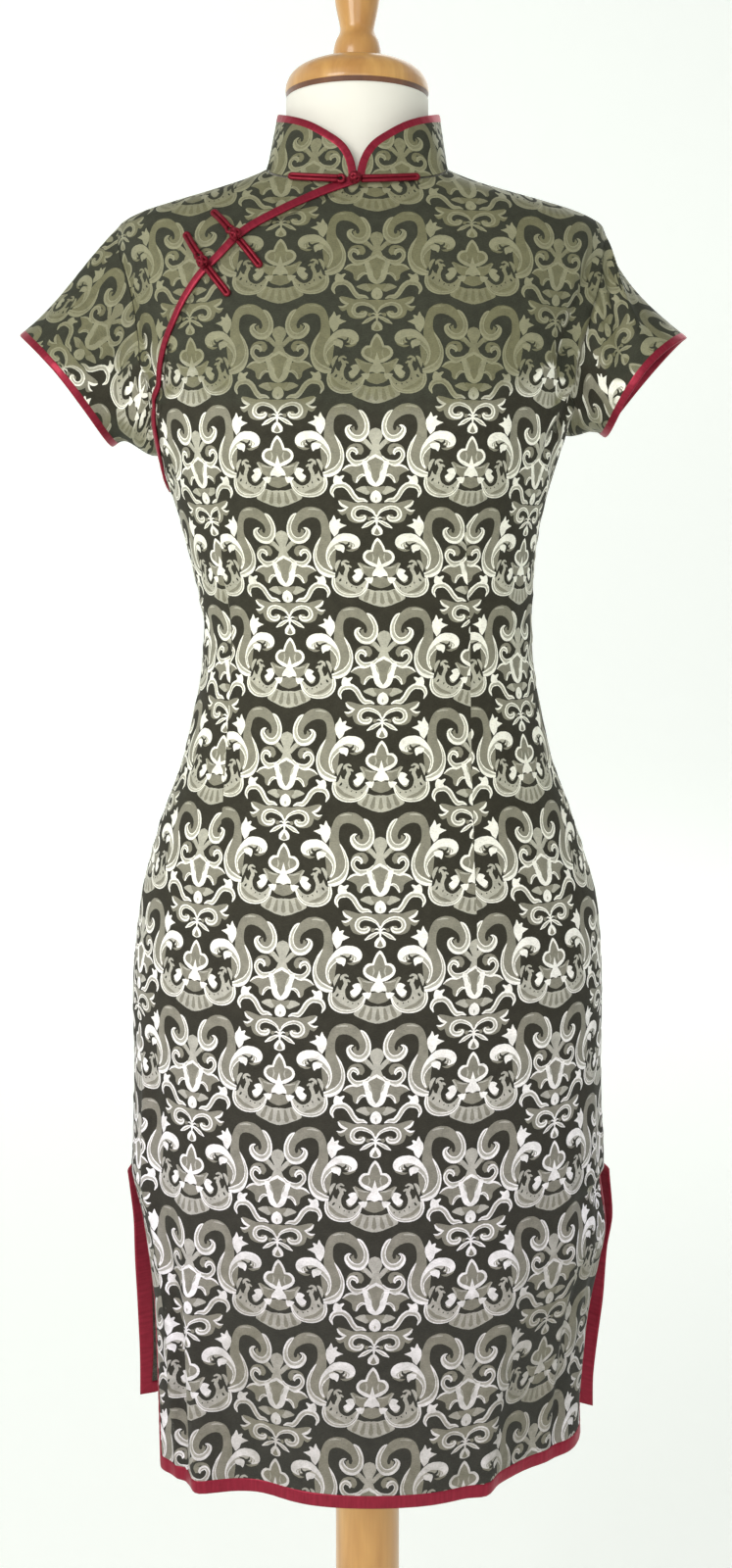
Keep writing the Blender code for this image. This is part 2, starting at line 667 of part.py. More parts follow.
def sleeve_grid(hand):
    """Outer points and normals of a sleeve, [along, around], around from the top by the front to the back."""
    turn = np.arange(SLEEVE_AROUND) * 2 * math.pi / SLEEVE_AROUND
    low, high = run_at(PIT[hand]), run_at(SHOULDER_TIP)
    t = (low + high) / 2 + (high - low) / 2 * np.cos(turn)
    s = hand * (1 - ARMHOLE_DEEP * np.abs(np.sin(turn)))
    front = turn < math.pi
    points, normals = body_frame(FRONT, s, t)
    behind, behind_normals = body_frame(BACK, s, t)
    points[~front], normals[~front] = behind[~front], behind_normals[~front]
    points[[0, SLEEVE_AROUND // 2], 1] = 0
    into = points.mean(axis=0) - points
    into = unit(into - normals * np.sum(into * normals, axis=-1, keepdims=True))
    start = points + into * SLEEVE_SEAM

    hem = SLEEVE_HEMS[hand]
    top, bottom = np.array([hem.top.x, 0, hem.top.z]), np.array([hem.bottom.x, 0, hem.bottom.z])
    upright = (top - bottom) / 2
    axis = unit(np.array([-upright[2], 0, upright[0]]) * -hand)
    wobble = -hem.tuck * np.clip(np.sin(turn), 0, 1) ** 2
    end = (top + bottom) / 2 + np.outer(np.cos(turn), upright)
    end = end + np.outer(np.sin(turn), [0, -hem.half_depth, 0]) + np.outer(wobble, axis)
    reach = np.linalg.norm(end - start, axis=1, keepdims=True)
    down = np.outer(hem.start_down * np.clip(np.cos(turn), 0, 1) ** 2, (0, 0, -1))
    leave = unit(axis + 0.25 * into + down)
    first, second = start + leave * reach * 0.36, end - axis * reach * 0.33
    grid = []
    for v in np.linspace(0, 1, SLEEVE_ALONG + 1) ** 1.2:
        w = 1 - v
        grid.append(w**3 * start + 3 * w * w * v * first + 3 * w * v * v * second + v**3 * end)
    grid = np.array(grid)
    along = np.gradient(grid, axis=0)
    around = np.roll(grid, -1, axis=1) - np.roll(grid, 1, axis=1)
    wall = unit(np.cross(along, around))
    outward = grid - grid.mean(axis=1, keepdims=True)
    wall *= np.where(np.sum(wall * outward, axis=(1, 2)) < 0, -1.0, 1.0)[:, None, None]
    wall[0] = normals
    wall[1] = unit(wall[1] * 2 + normals)
    return grid, wall


def add_sleeve(hand, cloth, satin):
    name = "sleeve_left" if hand == LEFT else "sleeve_right"
    grid, normals = sleeve_grid(hand)
    add_wall(name, grid, normals, cloth, closed=True)
    edge, out = grid[-1], normals[-1]
    side = 1 if np.dot(np.cross(edge[1] - edge[0], out[0]), edge[0] - grid[-2][0]) > 0 else -1
    add_band(name + "_binding", edge, out, satin, SLEEVE_BAND, loop=True, side=side)


# ---- collar ----


def neck_place(angles):
    """(points, normals) of the panels at the neckline, by angles about the neck from the front towards +X."""
    dense = np.linspace(-1, 1, 401)
    found = []
    for side in (FRONT, BACK):
        line = body_point(side, dense, neckline(side, dense))
        turn = np.arctan2(line[:, 0] - NECK_CENTRE, side * line[:, 1])
        s = np.interp(np.arcsin(np.sin(angles)), turn, dense)
        found.append(body_frame(side, s, neckline(side, s)))
    ahead = (np.cos(angles) > 0)[:, None]
    return [np.where(ahead, front, back) for front, back in zip(*found)]


def collar_face(angles, heights):
    """The collar's outer points [up, around] from the neckline to heights, and their normals."""
    foot, _ = neck_place(angles)
    foot[:, 2] += COLLAR_SEAM
    ring = COLLAR_RING
    x = ring.centre + ring.half_width * np.sin(angles)
    depth = np.where(np.cos(angles) > 0, ring.front, ring.back)
    top = np.column_stack([x, -depth * np.cos(angles), np.full(len(angles), ring.height)])
    reach = (heights - foot[:, 2]) / (ring.height - foot[:, 2])
    grid = np.array([foot + (top - foot) * (reach * v)[:, None] for v in np.linspace(0, 1, 4)])
    along = np.gradient(grid, axis=1)
    return grid, unit(np.cross(along, np.broadcast_to(top - foot, grid.shape)))


def collar_edge(angles):
    """Height of the brocade's upper edge."""
    degrees = np.degrees(np.minimum(angles, 2 * math.pi - angles))
    return smooth([e.degrees for e in COLLAR_EDGE], [e.height for e in COLLAR_EDGE], degrees)


def add_collar(cloth, satin):
    inset = math.radians(COLLAR_INSET)
    half = inset + (math.pi - inset) * np.linspace(0, 1, 23) ** 1.6
    angles = np.concatenate([half, 2 * math.pi - half[-2::-1]])
    grid, normals = collar_face(angles, collar_edge(angles))
    add_wall("collar", grid, normals, cloth)
    path = np.vstack([grid[:-1, 0], grid[-1], grid[:-1, -1][::-1]])
    out = np.vstack([normals[:-1, 0], normals[-1], normals[:-1, -1][::-1]])
    add_band("collar_binding", path, out, satin, COLLAR_BAND, side=-1)


# ---- frogs ----


def cord_sections(path, normals, width, height):
    """Sections of a doubled cord along a path, as two lobes side by side."""
    steps = np.gradient(path, axis=0)
    across = unit(np.cross(steps, normals))
    lobes = [(-1.0, 0.0), (-0.72, 0.86), (-0.28, 0.86), (0.0, 0.45), (0.28, 0.86), (0.72, 0.86)]
    lobes += [(1.0, 0.0), (0.72, -0.86), (-0.72, -0.86)]
    wide, tall = across * width[:, None] / 2, normals * height[:, None] / 2
    return np.stack([path + wide * right + tall * up for right, up in lobes], axis=1)


def add_frog_half(name, ends, normals, lifts, with_knot, finish):
    """A straight half of a frog from its outer end to its knot. lifts: the cord's underside at those ends."""
    share = np.linspace(0, 1, 7 if with_knot else 6)
    path = smooth_path(ends, len(share) - 1)
    out = unit(normals[0] * (1 - share[:, None]) + normals[1] * share[:, None])
    rise = lifts[0] + (lifts[1] - lifts[0]) * ease(share * 1.5)
    width, height = np.full(len(share), CORD_WIDE), np.full(len(share), CORD_THICK)
    path = path + out * (rise + CORD_THICK / 2)[:, None]
    if with_knot:
        forward = unit(path[-1] - path[-2])
        turns = np.linspace(-0.9, 0.9, 5)
        middle = path[-1] + forward * KNOT_LONG * 0.45 + out[-1] * (KNOT_TALL - CORD_THICK) / 2
        ball = np.array([middle + forward * turn * KNOT_LONG / 2 for turn in turns])
        path = np.vstack([path, ball])
        out = np.vstack([out, np.repeat(out[-1:], len(turns), axis=0)])
        swell = np.sqrt(1 - turns**2)
        width = np.concatenate([width, KNOT_WIDE * swell])
        height = np.concatenate([height, KNOT_TALL * swell])
    return add_loft(name, cord_sections(path, out, width, height), finish, round_ends=True)


def front_places(places):
    """Points and normals of the front at places seen from the front."""
    s, t = on_front(np.array([place.x for place in places]), np.array([place.z for place in places]))
    return body_frame(FRONT, s, t)


def between(a, b, share):
    return Place(a.x + (b.x - a.x) * share, a.z + (b.z - a.z) * share)


def add_opening_frog(name, frog, finish):
    """The knot half lies on the front and the loop half on the underlap."""
    low, high = 0.0002, PLACKET_LIFT + SATIN + 0.0004
    span = math.dist(frog.knot, frog.front_end)
    stop = 1 - 0.62 * KNOT_LONG / span
    knot_path = [between(frog.front_end, frog.knot, u) for u in (0, 0.45, stop)]
    points, normals = front_places(knot_path)
    add_frog_half(name + "_knot", points, normals[[0, 2]], (low, high), True, finish)
    span = math.dist(frog.knot, frog.shoulder_end)
    stop = 1 - 0.66 * KNOT_LONG / span
    loop_path = [between(frog.shoulder_end, frog.knot, u) for u in (0, 0.45, stop)]
    points, normals = front_places(loop_path)
    add_frog_half(name + "_loop", points, normals[[0, 2]], (low, high), False, finish)


def add_collar_frog(name, finish):
    """The frog at the collar's foot: its two halves follow the neckline round from the front."""
    low, high = 0.0014, 0.0026
    for tail, end, stop in (("_knot", COLLAR_FROG[0], 2.5), ("_loop", COLLAR_FROG[1], -10.0)):
        angles = np.radians([end, (end + stop) / 2, stop])
        foot, slope = neck_place(angles)
        foot[:, 2] += COLLAR_SEAM / 2
        upright = np.column_stack([np.sin(angles), -np.cos(angles), np.zeros(3)])
        out = unit(upright + slope)
        add_frog_half(name + tail, foot, out[[0, 2]], (low, high), tail == "_knot", finish)


# ---- dress form ----


def form_sections(quarters=10):
    """Level sections of the form inside the dress, then its neck."""
    across = -1 + 2 * spread(2 * quarters)
    heights = [ring.height for ring in RINGS if FORM_BOTTOM < ring.height < 1.36]
    heights = sorted([FORM_BOTTOM, 0.97, 1.3225] + heights)
    sections = []
    for height in heights:
        t = run_at(height)
        clear = np.interp(height, [row.height for row in FORM_CLEAR], [row.gap for row in FORM_CLEAR])
        beside = ease((np.abs(across) - 0.6) / 0.4) * (PIT[LEFT] < height < SHOULDER_TIP)
        clear = (clear + ARM_CLEAR * beside)[:, None]
        ahead, out = body_frame(FRONT, across, t)
        behind, out_behind = body_frame(BACK, across[::-1], t)
        ring = np.vstack([(ahead - out * (CLOTH + clear))[:-1], (behind - out_behind * (CLOTH + clear))[:-1]])
        sections.append(ring)
    turn = np.concatenate([across[:-1], 2 + across[:-1]]) * math.pi / 2
    for radius, height in NECK:
        neck = [NECK_CENTRE + radius * np.sin(turn), -radius * np.cos(turn), np.full(len(turn), height)]
        sections.append(np.column_stack(neck))
    sections[0][:, 2] = FORM_BOTTOM
    return np.array(sections)


def add_form(jersey, wood):
    add_loft("form", form_sections(), jersey)
    add_turned("neck_cap", CAP, wood, NECK_CENTRE, around=36)
    add_turned("finial", FINIAL, wood, NECK_CENTRE, around=24)
    add_turned("base", BASE, wood, around=44)
    add_turned("post", POST + [Turn(POST_RADIUS, FORM_BOTTOM - GAP)], wood, around=28)


def main():
    for old in list(bpy.data.objects):
        bpy.data.objects.remove(old)
    brocade = material("brocade", (0.16, 0.155, 0.13), 0.55)
    satin = material("satin", (0.28, 0.02, 0.04), 0.35)
    jersey = material("jersey", (0.86, 0.84, 0.78), 0.85)
    wood = material("wood", (0.72, 0.42, 0.13), 0.35)
    add_front(brocade)
    add_underlap(brocade)
    add_back(brocade)
    add_placket_binding(satin)
    add_skirt_binding("front_skirt_binding", FRONT, satin)
    add_skirt_binding("back_skirt_binding", BACK, satin)
    for hand in (LEFT, RIGHT):
        add_sleeve(hand, brocade, satin)
    add_collar(brocade, satin)
    for name, frog in FROGS.items():
        add_opening_frog(name, frog, satin)
    add_collar_frog("frog_1", satin)
    add_form(jersey, wood)


main()
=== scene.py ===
"""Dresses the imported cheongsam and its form: fine cloth with its woven damask, satin bindings and frogs,
a jersey form and turned wood, in a pale studio. Metres, in the frame's own axes.
"""

import math
from collections import namedtuple

import bmesh
import bpy
import numpy as np
from mathutils import Euler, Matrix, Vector
from mathutils.geometry import delaunay_2d_cdt


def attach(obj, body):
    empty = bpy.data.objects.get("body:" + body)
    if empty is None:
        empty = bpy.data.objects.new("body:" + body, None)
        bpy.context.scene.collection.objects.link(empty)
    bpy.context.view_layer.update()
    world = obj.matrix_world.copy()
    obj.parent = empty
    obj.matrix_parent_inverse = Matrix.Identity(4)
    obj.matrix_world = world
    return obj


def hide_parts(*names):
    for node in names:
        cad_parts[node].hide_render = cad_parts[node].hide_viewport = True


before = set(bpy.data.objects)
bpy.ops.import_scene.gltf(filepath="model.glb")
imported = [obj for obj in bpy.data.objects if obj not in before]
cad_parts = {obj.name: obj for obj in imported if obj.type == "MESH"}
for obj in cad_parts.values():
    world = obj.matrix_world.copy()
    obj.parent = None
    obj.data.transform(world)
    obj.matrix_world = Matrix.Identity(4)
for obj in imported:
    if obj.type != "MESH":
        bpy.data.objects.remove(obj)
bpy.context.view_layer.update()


# ---- camera, stage and light ----

CAMERA_AT = (0.0, -1.25, 1.079)
SENSOR_MM = 36.0
FOCAL_PX, FRAME_PX = 1690.0, 1600.0  # the focal length and the frame's height, in the photo's pixels
MIDDLE_PX, AXIS_PX = 373.5, 375.0  # across: the frame's middle, and where x = 0 falls
RAISED = 0.15  # how far the horizon lies above the frame's middle, as a share of its height

DAYLIGHT, SKY = (1.0, 0.985, 0.95), (0.98, 1.0, 0.99)
AIM = (0, 0, 0.95)


def make_camera():
    data = bpy.data.cameras.new("camera")
    data.sensor_width = SENSOR_MM
    data.lens = SENSOR_MM * FOCAL_PX / FRAME_PX
    data.shift_x = (MIDDLE_PX - AXIS_PX) / FRAME_PX
    data.shift_y = -RAISED
    data.clip_start = 0.05
    camera = bpy.data.objects.new("camera", data)
    camera.location = CAMERA_AT
    camera.rotation_euler = Euler((math.pi / 2, 0, 0))
    bpy.context.scene.collection.objects.link(camera)
    bpy.context.scene.camera = camera


def add_light(name, place, aim, size, watts, tint):
    data = bpy.data.lights.new(name, "AREA")
    data.shape = "RECTANGLE"
    data.size, data.size_y = size
    data.energy = watts
    data.color = tint
    lamp = bpy.data.objects.new(name, data)
    lamp.location = place
    lamp.rotation_euler = (Vector(aim) - Vector(place)).to_track_quat("-Z", "Y").to_euler()
    lamp.visible_camera = False
    bpy.context.scene.collection.objects.link(lamp)


def make_stage():
    """A pale round room: a floor that turns up into a wall well away from the form, open above."""
    radius, far, tall, steps = 2.5, 7.5, 9.0, 96
    arc = np.linspace(0, math.pi / 2, 17)
    profile = [(far - radius + radius * math.sin(a), radius - radius * math.cos(a)) for a in arc]
    profile.append((far, tall))
    round_turn = np.arange(steps) * 2 * math.pi / steps
    points = [(0.0, 0.0, 0.0)]
    points += [(r * math.sin(a), r * math.cos(a), z) for r, z in profile for a in round_turn]
    faces = [(0, 1 + (step + 1) % steps, 1 + step) for step in range(steps)]
    faces += grid_faces(len(profile), steps, closed=True, start=1)
    n = Nodes("paper_painted_glow")
    # The paper glows: painted light, strongest behind the form and weak in front of it, and dimmer towards +X
    # as a painted shade.
    x, y, _ = n.split(n.add("ShaderNodeNewGeometry", output=0))
    ahead = n.add("ShaderNodeMapRange", {0: y, 1: -3.0, 2: 3.0, 3: 0.06, 4: 0.47})
    aside = n.add("ShaderNodeMapRange", {0: x, 1: -1.2, 2: 2.4, 3: 1.0, 4: 0.72})
    n.set(Emission_Strength=n.math("MULTIPLY", ahead, aside))
    n.set(Base_Color=(0.80, 0.815, 0.79, 1), Roughness=0.95, Emission_Color=(0.98, 1.0, 0.98, 1))
    n.material.cycles.emission_sampling = "NONE"
    add_object("sweep", points, faces, n.material)
    world = bpy.data.worlds.new("room")
    world.use_nodes = True
    backdrop = world.node_tree.nodes["Background"]
    backdrop.inputs["Color"].default_value = (0.93, 0.96, 0.93, 1)
    backdrop.inputs["Strength"].default_value = 0.42
    bpy.context.scene.world = world
    bpy.context.scene.view_settings.view_transform = "Standard"
    # Each lamp's place, what it aims at, its size and its watts.
    add_light("window", (-1.5, -2.3, 1.7), AIM, (1.3, 1.6), 42, DAYLIGHT)
    add_light("front", (0.1, -1.9, 1.15), AIM, (1.0, 0.9), 5, DAYLIGHT)
    add_light("behind", (1.6, 3.2, 3.4), (0, 0, 1.0), (3.0, 3.0), 26, SKY)


# Cloth and trim.
CLOTH = 0.002  # wall of a brocade panel
LINING_IN = 0.0013  # how far the wrong side lies inside the outer face
GAP = 0.0003  # between pieces that are sewn together
SATIN = 0.0022  # thickness of a satin binding
HEM_BAND = 0.0072  # width of the binding on hem and slits
SLEEVE_BAND = 0.0062
COLLAR_BAND = 0.0054
PLACKET_BAND = 0.0056
PLACKET_LIFT = 0.0006  # the opening's binding stands this far off the panels under it

FRONT, BACK = -1, 1
LEFT, RIGHT = -1, 1  # the -X and +X sides

# Level sections of the dress, from the hem up. Depths are measured forwards and backwards from y = 0.
Ring = namedtuple("Ring", "height centre half_width front back square")
RINGS = [
    Ring(0.420, -0.001, 0.1715, 0.1150, 0.1120, 2.15),
    Ring(0.520, 0.001, 0.1765, 0.1180, 0.1170, 2.15),
    Ring(0.571, 0.002, 0.1785, 0.1195, 0.1200, 2.15),
    Ring(0.618, 0.000, 0.1770, 0.1205, 0.1235, 2.12),
    Ring(0.680, 0.000, 0.1750, 0.1215, 0.1285, 2.10),
    Ring(0.754, 0.000, 0.1758, 0.1215, 0.1320, 2.10),
    Ring(0.813, 0.001, 0.1716, 0.1180, 0.1290, 2.10),
    Ring(0.872, 0.000, 0.1564, 0.1100, 0.1160, 2.08),
    Ring(0.931, 0.000, 0.1365, 0.1000, 0.0980, 2.05),
    Ring(1.016, 0.0005, 0.1231, 0.0930, 0.0880, 2.05),
    Ring(1.064, -0.003, 0.1283, 0.0990, 0.0930, 2.10),
    Ring(1.094, -0.005, 0.1339, 0.1060, 0.0975, 2.15),
    Ring(1.138, -0.006, 0.1464, 0.1150, 0.1030, 2.25),
    Ring(1.165, -0.006, 0.1550, 0.1170, 0.1050, 2.35),
    Ring(1.205, -0.005, 0.1640, 0.1140, 0.1050, 2.45),
    Ring(1.245, -0.005, 0.1720, 0.1070, 0.1015, 2.50),
    Ring(1.285, -0.005, 0.1800, 0.0965, 0.0945, 2.45),
    Ring(1.306, -0.005, 0.1835, 0.0890, 0.0890, 2.35),
    Ring(1.318, -0.005, 0.1825, 0.0835, 0.0855, 2.25),
    Ring(1.327, -0.0055, 0.1710, 0.0785, 0.0825, 2.15),
    Ring(1.335, -0.006, 0.1480, 0.0750, 0.0800, 2.08),
    Ring(1.3435, -0.007, 0.1180, 0.0725, 0.0775, 2.02),
    Ring(1.352, -0.0075, 0.0900, 0.0705, 0.0750, 2.00),
    Ring(1.363, -0.0075, 0.0675, 0.0680, 0.0725, 2.00),
    Ring(1.374, -0.0075, 0.0620, 0.0640, 0.0690, 2.00),
]

# The bust: a soft rise on each side of the front.
BUST_HEIGHT, BUST_APART, BUST_RISE = 1.168, 0.076, 0.010
BUST_WIDE, BUST_TALL = 0.046, 0.058

# Where the panels end.
SLIT_TOP = 0.618
OPENING_END = 1.123  # the opening's binding meets the side seam here
UNDERLAP_FOOT = 1.127
NECK_FRONT, NECK_SIDE, NECK_BACK = 1.3400, 1.3630, 1.3690
SHOULDER_TIP = 1.3245
PIT = {LEFT: 1.149, RIGHT: 1.164}
ARMHOLE_DEEP = 0.23  # how far the armhole cuts into the panels, as a share of s
SLIT_INSET = 0.031  # what the binding takes off a slit's edge, as a share of s
SLIT_LEDGE = 0.0010  # height of the step where the slit's edge leaves the side seam
SLIT_FALL = 0.026  # what the front's edge falls back by besides, as a share of s
# Below the slit's head: where that is complete, where it has gone, and over how much it goes.
SLIT_FALL_BY, SLIT_FALL_END, SLIT_FALL_FADE = 0.004, 0.066, 0.052
HEM_T = HEM_BAND + GAP  # t of a panel's lower edge

# Below the slits each panel's edge swings on its own: across towards +X, forward towards -Y, and its last
# strip flares outwards. drop is 0 at the slit's top and 1 at the hem.
Swing = namedtuple("Swing", "drop across forward flare", defaults=[0])
SWINGS = {
    (FRONT, LEFT): [
        Swing(0, 0, 0),
        Swing(0.15, 0.010, 0.016),
        Swing(0.50, 0.021, 0.038),
        Swing(1, 0.0245, 0.061),
    ],
    (FRONT, RIGHT): [
        Swing(0, 0, 0),
        Swing(0.04, -0.0040, 0.001),
        Swing(0.21, -0.0030, 0.004),
        Swing(0.35, -0.0070, 0.005),
        Swing(0.60, -0.0130, 0.006),
        Swing(0.85, -0.0138, 0.008),
        Swing(1, -0.0115, 0.010),
    ],
    (BACK, LEFT): [
        Swing(0, 0, 0, 0),
        Swing(0.04, 0.0050, -0.003, 0.012),
        Swing(0.15, 0.0075, -0.010, 0.014),
        Swing(0.30, 0.0108, -0.016, 0.018),
        Swing(0.50, 0.0112, -0.022, 0.020),
        Swing(0.75, 0.0098, -0.031, 0.020),
        Swing(1, 0.0082, -0.0375, 0.022),
    ],
    (BACK, RIGHT): [
        Swing(0, 0, 0, 0),
        Swing(0.04, -0.0028, -0.003, 0.010),
        Swing(0.21, -0.0031, -0.006, 0.010),
        Swing(0.35, -0.0072, -0.009, 0.012),
        Swing(0.60, -0.0099, -0.015, 0.020),
        Swing(0.85, -0.0109, -0.018, 0.020),
        Swing(1, -0.0091, -0.020, 0.020),
    ],
}
SWING_START = 0.40  # the share of s, out from the middle, at which a swing begins
SWING_EASE = 1.4  # how much sooner than at the edge it is complete
FLARE_START = 0.93  # and a flare

# The largest folds: soft ridges (proud above 0) and troughs that run from foot to head.
FOLD_FADE = 0.38  # how fast a fold above the slits fades both ways from its middle, as a share of its length
Fold = namedtuple("Fold", "side foot_s foot_z head_s head_z wide proud")
FOLDS = [
    Fold(FRONT, -0.43, 0.40, -0.52, 0.66, 0.055, 0.0085),
    Fold(FRONT, -0.28, 0.40, -0.34, 0.62, 0.110, -0.0105),
    Fold(FRONT, 0.31, 0.40, 0.36, 0.68, 0.045, 0.0060),
    Fold(FRONT, 0.52, 0.40, 0.56, 0.66, 0.240, -0.0190),
    Fold(BACK, -0.42, 0.40, -0.40, 0.64, 0.070, 0.0060),
    Fold(BACK, 0.10, 0.40, 0.12, 0.60, 0.090, -0.0040),
    Fold(BACK, 0.46, 0.40, 0.50, 0.68, 0.070, 0.0065),
    Fold(FRONT, 0.78, 1.17, 0.50, 1.30, 0.090, -0.0030),
    Fold(FRONT, 0.66, 1.14, 0.36, 1.28, 0.070, 0.0020),
    Fold(FRONT, -0.70, 1.03, -0.40, 1.10, 0.090, 0.0022),
    Fold(FRONT, 0.72, 1.00, 0.45, 1.09, 0.080, 0.0022),
    Fold(BACK, -0.60, 0.98, -0.20, 1.05, 0.120, 0.0030),
    Fold(BACK, 0.62, 0.99, 0.22, 1.06, 0.110, 0.0028),
]

# The opening's edge, as seen from the front, from the side seam to the neck.
Place = namedtuple("Place", "x z")
OPENING = [
    Place(-0.1480, 1.1230),
    Place(-0.1512, 1.1533),
    Place(-0.1513, 1.1771),
    Place(-0.1475, 1.2022),
    Place(-0.1422, 1.2232),
    Place(-0.1356, 1.2381),
    Place(-0.1277, 1.2537),
    Place(-0.1165, 1.2699),
    Place(-0.1041, 1.2823),
    Place(-0.0864, 1.3001),
    Place(-0.0617, 1.3148),
    Place(-0.0341, 1.3285),
    Place(-0.0094, 1.3382),
]

# Frogs on the opening: outer end on the underlap, knot on the binding, outer end on the front.
Frog = namedtuple("Frog", "shoulder_end knot front_end")
FROGS = {
    "frog_2": Frog(Place(-0.1085, 1.3170), Place(-0.0926, 1.2981), Place(-0.0755, 1.2767)),
    "frog_3": Frog(Place(-0.1279, 1.3010), Place(-0.1145, 1.2798), Place(-0.0975, 1.2568)),
}
CORD_THICK = 0.0026  # of a satin cord, which lies doubled
KNOT_LONG, KNOT_TALL = 0.0100, 0.0085

# Sleeve hems: the top and bottom of each loop from the front, and half its depth. start_down is how steeply
# the top of the sleeve leaves the shoulder, and tuck how far the front of the loop is drawn in.
Hem = namedtuple("Hem", "top bottom half_depth start_down tuck")
SLEEVE_HEMS = {
    LEFT: Hem(Place(-0.2570, 1.2430), Place(-0.1885, 1.1590), 0.052, 0.15, 0.0062),
    RIGHT: Hem(Place(0.2360, 1.2410), Place(0.1755, 1.1660), 0.052, 4.00, 0.0110),
}
SLEEVE_SEAM = 0.0009  # the sleeve starts this far outside the armhole

# Collar: the brocade's upper edge by the angle from the front, on a cone from the neckline to its top ring.
Edge = namedtuple("Edge", "degrees height")
COLLAR_EDGE = [
    Edge(4, 1.3425),
    Edge(6, 1.3540),
    Edge(9, 1.3618),
    Edge(12, 1.3663),
    Edge(18, 1.3718),
    Edge(36, 1.3838),
    Edge(60, 1.3925),
    Edge(90, 1.4000),
    Edge(180, 1.4070),
]
COLLAR_RING = Ring(1.410, -0.0065, 0.0603, 0.0600, 0.0620, 2.0)
COLLAR_SEAM = 0.0014  # the collar starts this far above the neckline
COLLAR_INSET = 4.7  # degrees from the front's middle to the brocade's edge
COLLAR_FROG = (31, -34)  # degrees from the front to the ends of the knot half and the loop half
COLLAR_FROG_LIFTS = (0.0014, 0.0026)  # how far it stands off the collar at its outer ends and at the knot

# Dress form.
FORM_BOTTOM = 0.700
Clearance = namedtuple("Clearance", "height gap")
FORM_CLEAR = [
    Clearance(0.700, 0.0045),
    Clearance(1.020, 0.0040),
    Clearance(1.200, 0.0035),
    Clearance(1.300, 0.0026),
    Clearance(1.325, 0.0014),
]
ARM_CLEAR = 0.0045  # how much further in the form stands where the armholes leave it bare
NECK_CENTRE = -0.0077
POST_RADIUS = 0.0240

# Round profiles, from the bottom of each to its top: the form's neck and the turned wood.
Turn = namedtuple("Turn", "radius height")
NECK = [
    Turn(0.0600, 1.3630),
    Turn(0.0560, 1.3750),
    Turn(0.0540, 1.3900),
    Turn(0.0535, 1.4172),
]
CAP = [
    Turn(0.0522, 1.4175),
    Turn(0.0540, 1.4213),
    Turn(0.0541, 1.4245),
    Turn(0.0532, 1.4290),
    Turn(0.0503, 1.4345),
    Turn(0.0445, 1.4395),
    Turn(0.0355, 1.4435),
    Turn(0.0250, 1.4460),
]
FINIAL = [
    Turn(0.0180, 1.4463),
    Turn(0.0180, 1.4530),
    Turn(0.0175, 1.4570),
    Turn(0.0161, 1.4620),
    Turn(0.0138, 1.4665),
    Turn(0.0129, 1.4705),
    Turn(0.0136, 1.4755),
    Turn(0.0152, 1.4830),
    Turn(0.0168, 1.4920),
    Turn(0.0174, 1.5030),
    Turn(0.0164, 1.5135),
    Turn(0.0134, 1.5215),
    Turn(0.0084, 1.5270),
    Turn(0.0030, 1.5290),
]
BASE = [
    Turn(0.1620, 0.0000),
    Turn(0.1690, 0.0030),
    Turn(0.1700, 0.0120),
    Turn(0.1660, 0.0185),
    Turn(0.1580, 0.0215),
    Turn(0.1560, 0.0255),
    Turn(0.1450, 0.0300),
    Turn(0.0600, 0.0335),
    Turn(0.0340, 0.0340),
]
POST = [
    Turn(0.0335, 0.0343),
    Turn(0.0345, 0.0400),
    Turn(0.0325, 0.0470),
    Turn(0.0262, 0.0520),
    Turn(POST_RADIUS, 0.0580),
]


# ---- curves through a table ----


def smooth(keys, values, at):
    """A monotone cubic through the points (keys, values), read at the places in at."""
    keys, values, at = np.asarray(keys, float), np.asarray(values, float), np.asarray(at, float)
    steps = np.diff(keys)
    slopes = np.diff(values) / steps
    tangents = np.zeros(len(keys))
    tangents[0], tangents[-1] = slopes[0], slopes[-1]
    for i in range(1, len(keys) - 1):
        if slopes[i - 1] * slopes[i] > 0:
            near, far = 2 * steps[i] + steps[i - 1], steps[i] + 2 * steps[i - 1]
            tangents[i] = (near + far) / (near / slopes[i - 1] + far / slopes[i])
    cell = np.clip(np.searchsorted(keys, at, side="right") - 1, 0, len(steps) - 1)
    u = (at - keys[cell]) / steps[cell]
    rise = slopes[cell] * steps[cell]
    start, end = tangents[cell] * steps[cell], tangents[cell + 1] * steps[cell]
    return values[cell] + u * (start + u * ((3 * rise - 2 * start - end) + u * (start + end - 2 * rise)))


def spans(points, closed=False):
    """Each span of a line through points, as four points: its two ends and one beyond either."""
    if closed:
        ends = np.vstack([points[-1:], points, points[:2]])
    else:
        ends = np.vstack([2 * points[0] - points[1], points, 2 * points[-1] - points[-2]])
    return zip(ends[:-3], ends[1:-2], ends[2:-1], ends[3:])


def bend_span(a, b, c, d, u):
    """Places at shares u of the way from b to c on a Catmull-Rom curve."""
    square, cube = 2 * a - 5 * b + 4 * c - d, 3 * b - a - 3 * c + d
    return b + 0.5 * ((c - a) * u + square * u**2 + cube * u**3)


def smooth_path(points, count):
    """count + 1 points, evenly spaced by length, on a Catmull-Rom curve through points."""
    points = np.asarray(points, float)
    u = np.linspace(0, 1, 13)[:-1, None]
    dense = np.vstack([bend_span(*span, u) for span in spans(points)] + [points[-1:]])
    length = np.concatenate([[0], np.cumsum(np.linalg.norm(np.diff(dense, axis=0), axis=1))])
    wanted = np.linspace(0, length[-1], count + 1)
    return np.column_stack([np.interp(wanted, length, dense[:, k]) for k in range(dense.shape[1])])


def ease(u):
    """From 0 to 1 with soft ends."""
    u = np.clip(u, 0, 1)
    return u * u * (3 - 2 * u)


def unit(vectors):
    return vectors / np.linalg.norm(vectors, axis=-1, keepdims=True)


# ---- the dress's surface ----

